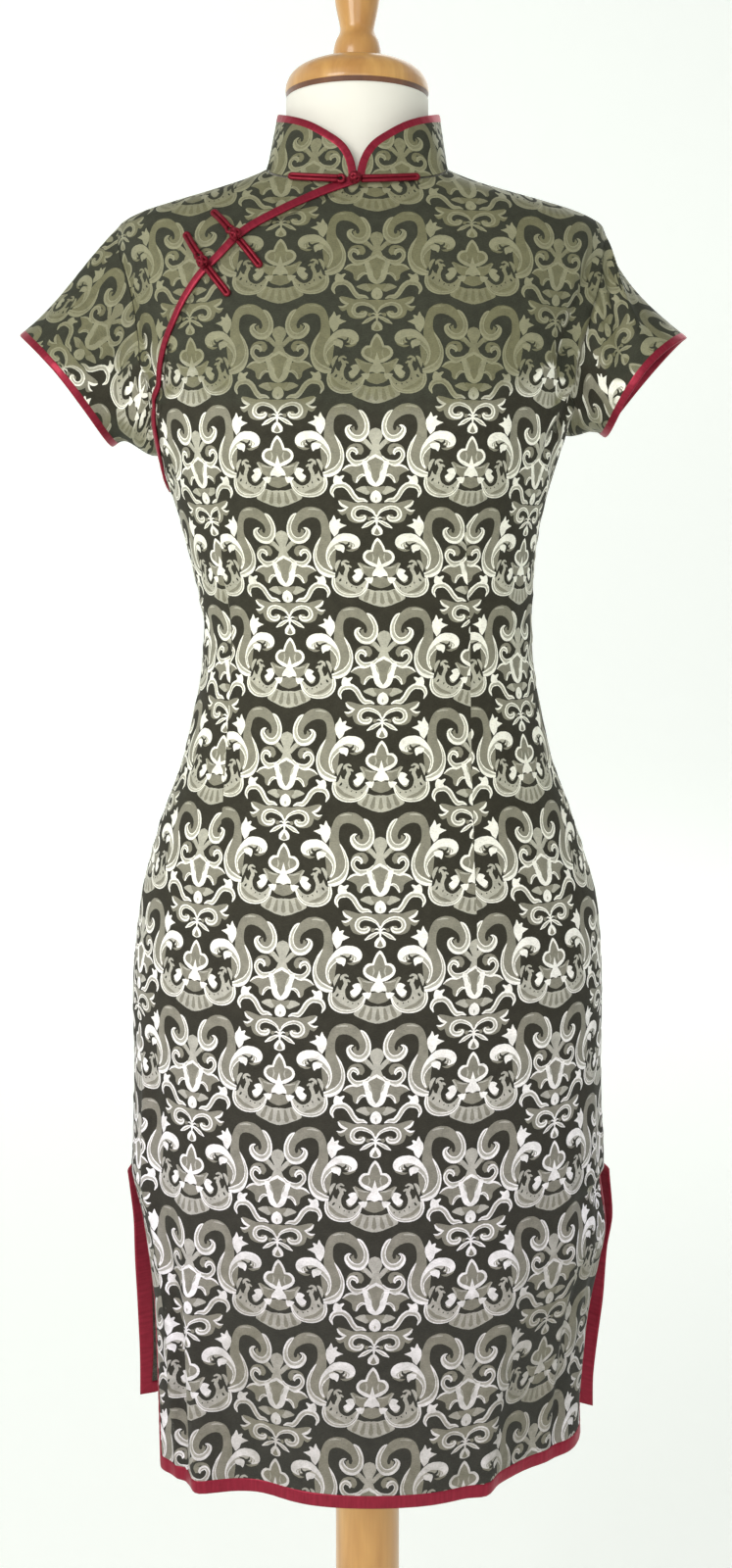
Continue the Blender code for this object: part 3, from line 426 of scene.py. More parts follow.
HEIGHTS = np.array([ring.height for ring in RINGS])
WIDTHS = np.array([ring.half_width for ring in RINGS])
RUN = np.concatenate([[0], np.cumsum(np.hypot(np.diff(HEIGHTS), np.diff(WIDTHS)))])


def run_at(height):
    """t at a height above the floor."""
    dense = np.linspace(0, RUN[-1], 2001)
    return np.interp(height, smooth(RUN, HEIGHTS, dense), dense)


def ring_at(t):
    """The level section at t."""
    return Ring(*(smooth(RUN, [getattr(ring, field) for ring in RINGS], t) for field in Ring._fields))


def swing_of(side, s, t):
    """How far a panel's edge has swung across and forward at (s, t), below the slit."""
    slit = run_at(SLIT_TOP)
    drop = np.clip((slit - t) / slit, 0, 1.02)
    share = np.clip((np.abs(s) - SWING_START) / (1 - SWING_START), 0, 1)
    edge = np.clip((np.abs(s) - FLARE_START) / (1 - FLARE_START), 0, 1.2)
    across, forward = np.zeros_like(drop), np.zeros_like(drop)
    for hand in (LEFT, RIGHT):
        drops, acrosses, forwards, flares = zip(*SWINGS[side, hand])
        here = np.sign(s) == hand
        across = across + here * ease(SWING_EASE * share) * smooth(drops, acrosses, drop)
        across = across + here * edge**2 * hand * smooth(drops, flares, drop)
        forward = forward + here * share**1.5 * smooth(drops, forwards, drop)
    return across, forward


def fold_height(side, s, height):
    """How far the folds push the surface out."""
    total = np.zeros_like(height)
    for fold in FOLDS:
        if fold.side != side:
            continue
        share = (height - fold.foot_z) / (fold.head_z - fold.foot_z)
        middle = fold.foot_s + (fold.head_s - fold.foot_s) * share
        if fold.foot_z < SLIT_TOP:
            fade = ease(1 - share)
        else:
            fade = np.exp(-(((share - 0.5) / FOLD_FADE) ** 2))
        total = total + fold.proud * fade * np.exp(-(((s - middle) / fold.wide) ** 2))
    return total


# Smaller creases: each runs from one (s, height) to another, bowed by bend metres, with a
# ridge (proud above 0) or trough of that half width in metres and a fainter one beside it.
Crease = namedtuple("Crease", "side s0 z0 s1 z1 wide proud bend", defaults=[0])
CREASES = [
    Crease(FRONT, -0.73, 0.71, -0.68, 0.44, 0.0070, 0.0046, 0.004),
    Crease(FRONT, -0.56, 0.66, -0.53, 0.44, 0.0090, -0.0016, -0.003),
    Crease(FRONT, 0.58, 0.64, 0.66, 0.43, 0.0100, 0.0021, 0.004),
    Crease(FRONT, 0.86, 0.69, 0.80, 0.44, 0.0120, -0.0022, 0.003),
    Crease(FRONT, -0.18, 0.61, -0.13, 0.41, 0.0200, -0.0015),
    Crease(FRONT, 0.12, 0.68, 0.17, 0.41, 0.0210, 0.0014, 0.005),
    Crease(FRONT, -0.34, 1.12, -0.52, 1.03, 0.0080, 0.0012, 0.006),
    Crease(FRONT, 0.34, 1.125, 0.48, 1.045, 0.0090, 0.0011, -0.006),
    Crease(FRONT, -0.90, 1.150, -0.54, 1.190, 0.0070, 0.0013, 0.005),
    Crease(FRONT, -0.93, 1.105, -0.60, 1.150, 0.0065, -0.0011, 0.004),
    Crease(FRONT, 0.90, 1.170, 0.52, 1.212, 0.0070, 0.0015, -0.005),
    Crease(FRONT, 0.93, 1.120, 0.58, 1.168, 0.0065, -0.0012, -0.004),
    Crease(FRONT, 0.80, 1.300, 0.70, 1.185, 0.0062, 0.0034, 0.004),
    Crease(FRONT, 0.73, 1.292, 0.62, 1.200, 0.0062, -0.0026, 0.003),
    Crease(FRONT, 0.66, 1.300, 0.48, 1.190, 0.0080, 0.0015, 0.004),
    Crease(FRONT, 0.90, 1.235, 0.60, 1.155, 0.0060, 0.0026, -0.004),
    Crease(FRONT, 0.90, 1.208, 0.66, 1.138, 0.0052, -0.0022, -0.003),
    Crease(FRONT, 0.86, 1.315, 0.70, 1.240, 0.0060, 0.0014, 0.003),
    Crease(FRONT, -0.84, 1.300, -0.74, 1.200, 0.0062, 0.0018, -0.004),
    Crease(FRONT, -0.92, 1.245, -0.66, 1.175, 0.0058, 0.0016, 0.003),
    Crease(FRONT, -0.61, 0.57, -0.59, 0.415, 0.0120, -0.0036, 0.002),
    Crease(FRONT, 0.68, 0.56, 0.72, 0.415, 0.0110, -0.0028, 0.003),
    Crease(FRONT, -0.98, 1.040, -0.58, 1.022, 0.0050, 0.0010, 0.003),
    Crease(FRONT, -0.98, 1.008, -0.50, 0.999, 0.0055, 0.0013, -0.002),
    Crease(FRONT, -0.96, 0.975, -0.62, 0.962, 0.0050, -0.0009, -0.003),
    Crease(FRONT, 0.98, 1.046, 0.62, 1.028, 0.0050, 0.0011, 0.003),
    Crease(FRONT, 0.98, 1.012, 0.55, 1.000, 0.0060, 0.0012, -0.003),
    Crease(FRONT, 0.97, 0.972, 0.66, 0.966, 0.0045, -0.0009),
    Crease(FRONT, -0.90, 0.82, -0.56, 0.86, 0.0090, 0.0010, 0.005),
    Crease(FRONT, 0.92, 0.80, 0.50, 0.85, 0.0100, 0.0011, -0.006),
    Crease(FRONT, -0.95, 0.70, -0.60, 0.76, 0.0080, -0.0009, 0.004),
    Crease(BACK, -0.55, 0.66, -0.50, 0.43, 0.0110, 0.0020, 0.003),
    Crease(BACK, 0.28, 0.64, 0.33, 0.42, 0.0150, -0.0017, 0.004),
    Crease(BACK, 0.66, 0.67, 0.60, 0.43, 0.0100, 0.0022, -0.004),
    Crease(BACK, -0.97, 1.030, -0.40, 1.000, 0.0070, 0.0016, 0.006),
    Crease(BACK, -0.95, 0.990, -0.30, 0.972, 0.0065, -0.0013, 0.004),
    Crease(BACK, 0.97, 1.040, 0.30, 1.006, 0.0075, 0.0018, -0.006),
    Crease(BACK, 0.96, 1.002, 0.44, 0.984, 0.0060, -0.0012, 0.003),
    Crease(BACK, -0.30, 1.052, 0.26, 1.046, 0.0080, 0.0012, 0.005),
    Crease(BACK, -0.86, 1.290, -0.50, 1.190, 0.0080, 0.0016, -0.006),
    Crease(BACK, 0.84, 1.280, 0.56, 1.180, 0.0075, 0.0015, 0.005),
    Crease(BACK, -0.92, 1.150, -0.60, 1.200, 0.0070, -0.0012, 0.004),
    Crease(BACK, 0.92, 0.84, 0.52, 0.88, 0.0095, 0.0012, -0.005),
    Crease(BACK, -0.90, 0.80, -0.56, 0.86, 0.0100, -0.0011, 0.005),
]
CREASE_SPAN = 0.22  # metres across for 1 of s, near enough for the lie of a crease
ECHO, ECHO_AWAY, ECHO_WIDE = 0.4, 1.8, 1.2  # the fainter one's depth, distance and width against the crease

# Seams and darts that pucker: s, and the heights between which they do.
Gather = namedtuple("Gather", "s low high")
GATHERS = [
    Gather(-0.985, 0.64, 1.14),
    Gather(0.985, 0.64, 1.14),
    Gather(-0.47, 0.88, 1.12),
    Gather(0.37, 0.80, 1.10),
]


def pucker_creases():
    """Short faint puckers where the cloth is gathered a little by its side seams and darts."""
    random = np.random.default_rng(7)
    found = []
    for side in (FRONT, BACK):
        for seam in GATHERS:
            height, inward = seam.low, -np.sign(seam.s)
            while height < seam.high:
                reach = random.uniform(0.05, 0.11)
                start = seam.s + inward * random.uniform(0.0, 0.02)
                end = start + inward * reach
                lean = random.uniform(-0.010, 0.010)
                proud = random.uniform(0.0003, 0.0007) * random.choice((-1, 1))
                wide = random.uniform(0.0022, 0.0038)
                found.append(Crease(side, start, height, end, height + lean, wide, proud))
                height += random.uniform(0.012, 0.034)
    return found


CREASES += pucker_creases()


def crease_height(side, s, height):
    """How far the creases push the surface out."""
    total = np.zeros_like(height)
    place = np.stack([s * CREASE_SPAN, height], axis=-1)
    for crease in CREASES:
        if crease.side != side:
            continue
        start = np.array([crease.s0 * CREASE_SPAN, crease.z0])
        line = np.array([crease.s1 * CREASE_SPAN, crease.z1]) - start
        reach = np.hypot(*line)
        from_start = place - start
        along = (from_start @ line) / reach**2
        near = (along > -0.2) & (along < 1.2)
        aside = (from_start[..., 0] * -line[1] + from_start[..., 1] * line[0]) / reach
        near &= np.abs(aside) < 5 * crease.wide + abs(crease.bend)
        if not near.any():
            continue
        u, v = along[near], aside[near]
        v = (v - crease.bend * 4 * u * (1 - u)) / crease.wide
        ridge = np.exp(-(v**2)) - ECHO * np.exp(-(((v - ECHO_AWAY) / ECHO_WIDE) ** 2))
        total[near] += crease.proud * ridge * ease(u * 3.5 + 0.35) * ease((1 - u) * 3.5 + 0.35)
    return total


def body_point(side, s, t):
    """Points of the dress's outer surface."""
    s, t = np.broadcast_arrays(np.asarray(s, float), np.asarray(t, float))
    ring = ring_at(t)
    turn = s * math.pi / 2
    power = 2 / ring.square
    across = np.sign(np.sin(turn)) * np.abs(np.sin(turn)) ** power
    through = np.sign(np.cos(turn)) * np.abs(np.cos(turn)) ** power
    depth = ring.front if side == FRONT else ring.back
    proud = fold_height(side, s, ring.height) + crease_height(side, s, ring.height)
    x = ring.centre + (ring.half_width + proud) * across
    y = side * (depth + proud) * through
    if side == FRONT:
        tall = ((ring.height - BUST_HEIGHT) / BUST_TALL) ** 2
        for middle in (-BUST_APART, BUST_APART):
            wide = ((x - ring.centre - middle) / BUST_WIDE) ** 2
            y = y - BUST_RISE * through * np.exp(-wide - tall)
    aside, forward = swing_of(side, s, t)
    return np.stack([x + aside, y - forward + side * GAP / 2, ring.height], axis=-1)


def body_frame(side, s, t):
    """The points at (s, t) and the surface's outward normals there."""
    step = 2e-3
    along = body_point(side, s + step, t) - body_point(side, s - step, t)
    up = body_point(side, s, t + step) - body_point(side, s, t - step)
    return body_point(side, s, t), unit(-side * np.cross(along, up))


def on_front(x, z):
    """(s, t) of the place on the front that is seen at (x, z)."""
    t = run_at(z)
    ring = ring_at(t)
    share = np.clip((x - ring.centre) / ring.half_width, -1, 1)
    return np.sign(share) * np.arcsin(np.abs(share) ** (ring.square / 2)) * 2 / math.pi, t


def neckline(side, s):
    """t of the neckline at s."""
    middle = NECK_FRONT if side == FRONT else NECK_BACK
    return run_at(middle + (NECK_SIDE - middle) * np.sin(s * math.pi / 2) ** 2)


# ---- the damask's chart ----

GROUND, OLIVE, PALE, IVORY = 0, 1, 2, 3
# Between columns, and the repeat's height. The chart's unit is one pixel of the photo, where its points
# were read against a measuring grid.
APART, DROP = 100.0, 212.0
TOLERANCE = 0.26  # in the chart's units


def curve(points, closed=False, step=1.0):
    """Dense points on a Catmull-Rom curve; extra columns such as widths go along."""
    points = np.asarray(points, float)
    out = []
    for span in spans(points, closed):
        count = max(2, int(np.linalg.norm((span[2] - span[1])[:2]) / step))
        out.append(bend_span(*span, np.linspace(0, 1, count, endpoint=False)[:, None]))
    if not closed:
        out.append(points[-1:])
    return np.vstack(out)


def thin(points):
    """The points that keep an open line's shape to within TOLERANCE, by Douglas and Peucker's way."""
    keep = np.zeros(len(points), bool)
    keep[[0, -1]] = True
    stack = [(0, len(points) - 1)]
    while stack:
        first, last = stack.pop()
        if last - first < 2:
            continue
        line = points[last] - points[first]
        x, y = (points[first + 1 : last] - points[first]).T
        size = np.hypot(*line)
        off = np.abs(line[0] * y - line[1] * x) / size if size > 1e-9 else np.hypot(x, y)
        worst = first + 1 + int(np.argmax(off))
        if off.max() > TOLERANCE:
            keep[worst] = True
            stack += [(first, worst), (worst, last)]
    return points[keep]


def blob(*points):
    """A closed smooth outline."""
    ring = curve(points, closed=True)
    half = len(ring) // 2
    return np.vstack([thin(ring[: half + 1])[:-1], thin(np.vstack([ring[half:], ring[:1]]))[:-1]])


def shape(*points):
    """A polygon with straight sides."""
    return np.array(points, float)


def brushed(points):
    """Path, half widths and leftward normals of a brush stroke through (x, y, half width)."""
    line = curve(points, step=0.8)
    path, wide = line[:, :2], np.maximum(line[:, 2:3], 0.15)
    along = np.gradient(path, axis=0)
    along /= np.linalg.norm(along, axis=1, keepdims=True)
    return path, wide, np.column_stack([-along[:, 1], along[:, 0]])


def outline(path, off):
    """The outline of a stroke that reaches off to the left of its path and as far to the right."""
    return np.vstack([thin(path + off), thin((path - off)[::-1])])


def stroke(*points):
    """A brush stroke through (x, y, half width)."""
    path, wide, normal = brushed(points)
    return outline(path, normal * wide)


def lit_stroke(*points):
    """An ivory brush stroke that is a little duller inside, towards the hollow of its bend."""
    path, wide, normal = brushed(points)
    broad = np.nonzero(wide[:, 0] > 1.25)[0]
    whole = [(IVORY, stroke(*points))]
    if len(broad) < 8:
        return whole
    inner = slice(broad[0], broad[-1] + 1)
    path, wide, normal = path[inner], wide[inner], normal[inner]
    bend = np.sign(np.sum(normal[:-1, 1] * normal[1:, 0] - normal[:-1, 0] * normal[1:, 1]))
    share = np.clip((wide - 2.6) / 3, 0, 1)
    taper = np.sin(np.linspace(0.12, math.pi - 0.12, len(path)))[:, None] ** 0.5
    path = path - bend * normal * wide * (0.14 + 0.40 * share)
    return whole + [(PALE, outline(path, normal * wide * (0.50 - 0.16 * share) * taper))]


FAN = np.array([0.0, 45.0])  # the middle of motif A's fan


def spoke(degrees, start, end, start_wide, end_wide):
    """A widening ray of the fan, with a round end."""
    turn = math.radians(degrees)
    out = np.array([math.sin(turn), -math.cos(turn)])
    near, far = FAN + out * start, FAN + out * end
    return stroke(
        (*near, start_wide),
        (*(near + far) / 2, (start_wide + end_wide) / 2),
        (*(far - out * end_wide * 0.3), end_wide),
        (*(far + out * end_wide * 0.5), end_wide * 0.3),
    )


# Tones and outlines of half a repeat, from its middle line out. A later one covers an earlier one.
MOTIF = [
    # motif A
    (PALE, blob((-1, 1), (7, 1.2), (15, 4.2), (24, 8.8), (22, 13.5), (15, 19), (7, 17), (-1, 16))),
    (OLIVE, spoke(0, 30, 41, 0.9, 2.6)),
    (OLIVE, spoke(12.5, 30, 41.5, 0.9, 2.5)),
    (OLIVE, spoke(25, 30, 41.5, 1.0, 2.6)),
    (OLIVE, blob((-2, 20.5), (6, 21.3), (11, 24.5), (9, 30), (0, 32), (-2, 32))),
    # bowl
    (PALE, blob(
        (12.5, 28), (14, 21.5), (20, 14.8), (28, 11), (38, 11.3), (46, 15.8), (50, 23), (50.5, 30),
        (46, 33), (41, 34), (36, 33), (30, 30), (24, 27),
    )),
    *lit_stroke(
        (13, 27, 0.8), (16, 19.5, 1.4), (22, 13.8, 1.5), (30, 11.7, 1.6), (39, 12.6, 1.8), (46, 17, 2.0),
        (49, 24, 2.0), (48.5, 31, 1.4),
    ),
    (OLIVE, stroke((27, 14.6, 0.6), (33, 16, 1.5), (39, 18.6, 1.7), (44, 23, 1.5), (46, 26.5, 0.5))),
    (PALE, stroke((35, 29, 3.2), (35, 35, 2.6), (33.5, 40, 2.0), (35.5, 44.5, 1.4), (38.5, 47.3, 0.9))),
    (PALE, stroke((29, 41.8, 0.6), (32, 43.2, 1.4), (35, 41.5, 1.3))),
    (PALE, stroke((31, 47, 0.6), (34.5, 48.6, 1.2), (38, 46.8, 1.2), (38.8, 43.5, 0.5))),
    (PALE, stroke((41, 33, 1.2), (44, 38, 1.6), (44.5, 43, 1.8), (42, 47.6, 1.6), (39.8, 49.2, 0.5))),
    (GROUND, stroke((38.3, 34.5, 0.7), (38.8, 38, 1.3), (38.2, 41.5, 0.6))),
    (GROUND, stroke((42.6, 41.5, 0.5), (43.8, 36.5, 1.4), (46.2, 32, 1.6), (48, 31.5, 0.6))),
    (GROUND, stroke((40.5, 30, 0.5), (41.6, 28.2, 1.2), (43, 27, 0.4))),
    (GROUND, stroke(
        (16, 29.3, 1.0), (20.5, 25.8, 1.7), (25.5, 23.8, 1.8), (30.3, 27, 2.2), (31.8, 33, 2.2),
        (29.5, 38.5, 1.7), (26.5, 39.6, 0.7),
    )),
    (IVORY, blob(
        (17, 36.5), (19, 40), (22.5, 40.5), (27, 38), (24.8, 35.2), (28.8, 32), (27, 28.2), (23.5, 27),
        (20, 29.5), (17.8, 33),
    )),
    (IVORY, blob((7.5, 32), (10.5, 31.8), (13, 31), (16.5, 30), (13, 25.8), (10, 24.8), (8, 27.5))),
    (GROUND, blob((19.2, 20.6), (20.3, 20.9), (20.8, 19.6), (19.7, 19.2))),
    (GROUND, blob((24.9, 20.9), (26.3, 20.9), (26.4, 19.7), (25.2, 19.6))),
    (GROUND, blob((29.6, 22.6), (31, 21.9), (31.6, 20.6), (30, 21.2))),
    (GROUND, blob((35, 27), (36, 25.4), (35.6, 23.8), (34.5, 25.2))),
    # leaf
    (OLIVE, blob(
        (4, 40.5), (8, 41.5), (13, 43.5), (20, 47), (21, 44), (17.5, 39.5), (16.5, 35), (10, 31),
        (6, 33.5),
    )),
    (PALE, stroke((17, 36, 0.8), (18.5, 41, 1.1), (21.8, 46.2, 0.7))),
    (PALE, stroke((6, 41.2, 0.5), (11, 41.5, 0.9), (17, 43, 0.4))),
    (IVORY, blob(
        (-3, 72.4), (0, 73.2), (3.2, 70.4), (6.2, 64.5), (7.4, 60.4), (11.5, 60.2), (15.6, 56.6),
        (16.6, 51.6), (14.4, 47.6), (10.5, 44.6), (5.5, 42.4), (-3, 43.6),
    )),
    (OLIVE, blob(
        (-2.5, 69), (0, 69.8), (2.6, 67), (4.6, 62.2), (5.6, 58.4), (9.4, 58), (13, 55.4), (13.6, 51.8),
        (11, 49), (6, 46.8), (2.5, 45), (-2.5, 46),
    )),
    (PALE, stroke((6.4, 56.6, 0.3), (5.4, 52, 0.9), (6.8, 48, 0.4))),
    (IVORY, blob(
        (-1, 53.5), (0, 54), (1.3, 49), (3.4, 42), (7.2, 36.6), (8, 32.4), (4, 32.6), (0, 31), (-1, 31),
    )),
    # S-scroll
    (OLIVE, stroke(
        (48.5, 38, 3.4), (53.5, 41, 6.0), (58.8, 47, 7.5), (60.2, 55, 7.4), (58.2, 62, 7.4),
        (54.6, 69, 6.9), (52.8, 76, 5.2), (53, 84, 4.3), (54.5, 92, 4.2), (58.5, 98, 4.9),
        (65, 100.5, 5.4), (72, 99.8, 5.6), (79, 95.8, 5.0), (84.8, 89.5, 4.6), (86.6, 82, 4.2),
        (83.5, 76.5, 3.2), (79.3, 76.3, 2.4), (77.2, 79.5, 1.6), (78.2, 82.6, 0.5),
    )),
    (PALE, stroke((58, 102.2, 0.4), (64, 103.6, 0.9), (70, 103.4, 0.4))),
    *lit_stroke(
        (46.5, 33.5, 2.4), (53, 34.6, 3.6), (60.5, 38.6, 3.6), (65.2, 46.5, 2.4), (66.2, 55, 1.8),
        (64, 63.5, 1.5), (60.3, 70.8, 0.9), (58.4, 74, 0.3),
    ),
    *lit_stroke(
        (82.8, 99.3, 0.4), (86, 96.5, 2.0), (89.5, 91, 2.3), (91.5, 84, 2.4), (90.2, 76, 3.0),
        (84.8, 70.7, 3.4), (77.5, 71.2, 3.4), (72.4, 76, 3.1), (71.5, 80.8, 2.3), (74.2, 83.6, 1.0),
        (76, 83.8, 0.3),
    ),
    (OLIVE, stroke((75.2, 81.5, 0.4), (77, 78.8, 1.0), (78.5, 77.2, 0.8))),
    # inner C-scroll with its bulb
    (OLIVE, blob((44, 60.5), (48.5, 57), (51, 50), (49.5, 43), (46.5, 42), (45, 47), (44.5, 54))),
    (OLIVE, blob((20, 63), (22, 60.5), (28, 58.4), (33, 60.4), (31, 64), (25, 66))),
    *lit_stroke(
        (49.2, 40, 1.0), (52, 45, 1.5), (53, 52, 1.9), (50.3, 59.5, 3.2), (45, 66, 4.6), (38, 70.8, 6.2),
        (31, 71.4, 6.7), (25, 69.6, 6.4), (23, 66.3, 4.8), (25.4, 62.8, 1.6), (28.5, 61.4, 0.5),
    ),
    (GROUND, stroke(
        (29.4, 69, 0.4), (30.4, 66, 1.2), (33.4, 65.4, 0.9), (36, 66.8, 1.1), (40.5, 68.2, 0.4),
    )),
    (GROUND, blob((26.5, 61.5), (31, 63.5), (34, 64.3), (37.5, 64.2), (36, 61.8), (33, 60.5))),
    (IVORY, blob(
        (34.4, 62.5), (36.2, 57.3), (38.6, 59.2), (43, 60.5), (44.5, 64.5), (39, 66), (35.6, 65.2),
    )),
    # lily
    (IVORY, shape(
        (31, 86.3), (34.5, 84.8), (38.6, 82.6), (40.3, 78), (44.3, 74.4), (47.8, 80), (49, 85),
        (48.6, 89.5), (46, 93), (44, 97.2), (43, 96), (41.6, 92), (38.2, 93.5), (37, 92.6), (38.4, 89.6),
        (36.8, 88.4),
    )),
    # motif B: knob and leaves
    (OLIVE, stroke((11, 171, 1.0), (14, 174.5, 2.2), (20, 176, 0.5))),
    (PALE, blob(
        (-2, 187), (0, 187.2), (5, 185), (7.2, 179), (5, 173.5), (3.4, 170), (4, 165.5), (6, 160),
        (9.5, 154.5), (-2, 154),
    )),
    (PALE, stroke((3.5, 166, 2.0), (7.5, 170.5, 2.5), (11, 174.5, 2.0), (13.6, 176.8, 0.4))),
    # side curls
    (OLIVE, stroke(
        (15.5, 160, 0.7), (13.6, 164, 1.4), (15.5, 168.2, 1.8), (20.5, 169.8, 1.6), (26, 167.6, 1.6),
        (29.8, 162, 0.8),
    )),
    (OLIVE, blob((14, 161), (15, 166), (19, 167), (21, 164), (18.5, 160.4))),
    *lit_stroke(
        (6, 157.5, 1.8), (10, 153.6, 2.4), (16, 151.6, 2.6), (22, 151.8, 2.6), (26.8, 156, 2.3),
        (28, 161, 2.1), (25.2, 165.2, 2.1), (21.5, 165, 2.4), (19, 162, 1.6), (19.6, 159.8, 0.5),
    ),
    # shield
    (IVORY, blob(
        (-2, 158), (5, 158), (9, 154), (14, 153), (12.5, 146), (10.5, 138), (8, 131.5), (4, 128),
        (0, 127), (-2, 127),
    )),
    (OLIVE, blob(
        (-2, 156.4), (1.5, 156.4), (6, 154.5), (8.6, 152), (6.3, 148.5), (4.5, 143), (3.6, 136), (0, 131),
        (-2, 131),
    )),
    (PALE, stroke((8, 150, 0.4), (6.2, 145.5, 1.1), (4.4, 142, 0.4))),
    # its leaves
    (OLIVE, blob(
        (11.6, 141), (12.6, 147), (18, 150), (25, 149.4), (33.5, 144.2), (28.5, 141.6), (24.3, 138.5),
        (23.6, 133.6), (20.4, 130.4), (19, 135), (15, 139.4),
    )),
    *lit_stroke((16, 149, 0.3), (20, 148.6, 1.0), (25, 149.2, 1.0), (30, 147.4, 1.0), (34, 143.8, 0.3)),
    *lit_stroke((9.5, 138.6, 0.8), (13.5, 139, 1.4), (17.3, 136.4, 1.6), (19.8, 131, 0.8)),
    # bow and drop
    (OLIVE, blob((-2, 127), (4, 126.8), (9, 127.6), (12, 124.5), (8, 118.8), (4, 121), (-2, 122))),
    (PALE, blob(
        (6.5, 121.5), (9, 123.8), (10.5, 127.4), (15.5, 127), (20.4, 124), (15, 120.8), (9, 118.6),
    )),
    (IVORY, blob((-2, 123), (0, 123.2), (4, 121), (6, 116), (4.4, 111.6), (0, 110), (-2, 110))),
    (PALE, blob((-1, 116), (0, 116.4), (1.2, 114.6), (0, 112), (-1, 112))),
    # horns
    *lit_stroke(
        (8.6, 111.2, 0.5), (13, 113.2, 1.7), (18.8, 113.4, 2.6), (23.2, 118, 2.6), (26.8, 124.2, 2.7),
        (32, 128.6, 2.8), (38, 129.2, 3.0), (43, 126.6, 2.5), (45.2, 121.4, 1.8), (43, 116, 0.4),
    ),
    (IVORY, blob(
        (33.3, 130), (34.8, 134), (32, 137.8), (33.4, 138.8), (37, 137.4), (40.6, 139), (43, 135.6),
        (42.4, 130),
    )),
    # volutes
    (OLIVE, blob(
        (-2, 109), (7, 109.4), (14, 110.8), (22, 110), (30, 112.4), (37, 113.6), (37.6, 110.8),
        (33.4, 107), (31.4, 102), (30.6, 96.5), (27.4, 91), (20, 88.8), (13, 90.2), (10, 94), (8, 100),
        (0, 97.5), (-2, 97.5),
    )),
    (OLIVE, blob(
        (29, 104.6), (33, 103.4), (38.6, 102), (38, 99.6), (35.2, 97.2), (31.4, 98.8), (29, 101),
    )),
    *lit_stroke((38.4, 112.4, 0.4), (36.2, 108.6, 1.3), (32.4, 106, 1.3), (28.6, 105.2, 0.4)),
    *lit_stroke((29.4, 105, 0.3), (32.2, 103, 0.9), (36, 101.6, 1.0), (39.6, 102.6, 0.3)),
    (GROUND, blob(
        (2.5, 97.6), (6, 101), (12, 103.8), (17.5, 103.4), (20.8, 100), (20.8, 96), (18.6, 94.6),
        (16.5, 97.4), (12, 97.6), (8, 95.5), (4.5, 95.5),
    )),
    *lit_stroke(
        (0.8, 95.8, 0.7), (3.4, 100.6, 1.3), (9, 104.2, 1.8), (16.2, 105.6, 2.0), (22.4, 102.8, 2.2),
        (24, 97.2, 2.3), (20.8, 93.2, 2.4), (15.6, 92.6, 2.5), (12.4, 94.4, 2.0), (13, 97, 0.9),
    ),
    # pendant
    (OLIVE, blob((5, 94.6), (8.6, 95.4), (9.6, 92.4), (7, 91.6))),
    *lit_stroke((0.4, 92.8, 0.8), (3, 94.8, 0.8), (5.6, 94.2, 0.3)),
    *lit_stroke((0.6, 91.6, 0.8), (5, 90, 1.6), (10.4, 86.8, 2.1), (15.8, 83.6, 0.5)),
    *lit_stroke((0, 97.5, 0.8), (0, 92, 1.4), (0, 87, 0.8)),
    (IVORY, blob((-1, 87), (0, 87.2), (2.8, 85.6), (5.8, 81), (5, 77), (0, 75.6), (-1, 75.6))),
    (OLIVE, blob((-1, 84), (0, 84), (1.6, 81), (3, 77.4), (0, 76.4), (-1, 76.4))),
]


def inside(points, ring):
    """Which points lie inside a ring."""
    x, y = points[:, 0], points[:, 1]
    hit = np.zeros(len(points), bool)
    for (x0, y0), (x1, y1) in zip(ring, np.roll(ring, -1, axis=0)):
        if y0 == y1:
            continue
        cross = (y0 > y) != (y1 > y)
        if cross.any():
            hit ^= cross & (x < x0 + (y - y0) * (x1 - x0) / (y1 - y0))
    return hit


def tone_at(points):
    """Tone of places in the cloth, in chart units."""
    tones = np.zeros(len(points), int)
    for odd in (0, 1):
        x = points[:, 0] - odd * APART
        x = np.abs(x - np.round(x / (2 * APART)) * 2 * APART)
        y = np.mod(points[:, 1] - odd * DROP / 2, DROP)
        here = np.column_stack([x, y])
        found = np.zeros(len(points), int)
        for tone, ring in MOTIF:
            low, high = ring.min(axis=0), ring.max(axis=0)
            near = np.all((here >= low) & (here <= high), axis=1)
            index = np.nonzero(near)[0]
            if len(index):
                found[index[inside(here[index], ring)]] = tone
        tones = np.maximum(tones, found)
    return tones


def only_used(points, joined):
    """The points that edges or faces use, and those edges or faces renumbered."""
    used = np.unique(joined)
    order = np.full(len(points), -1)
    order[used] = np.arange(len(used))
    return points[used], order[joined]


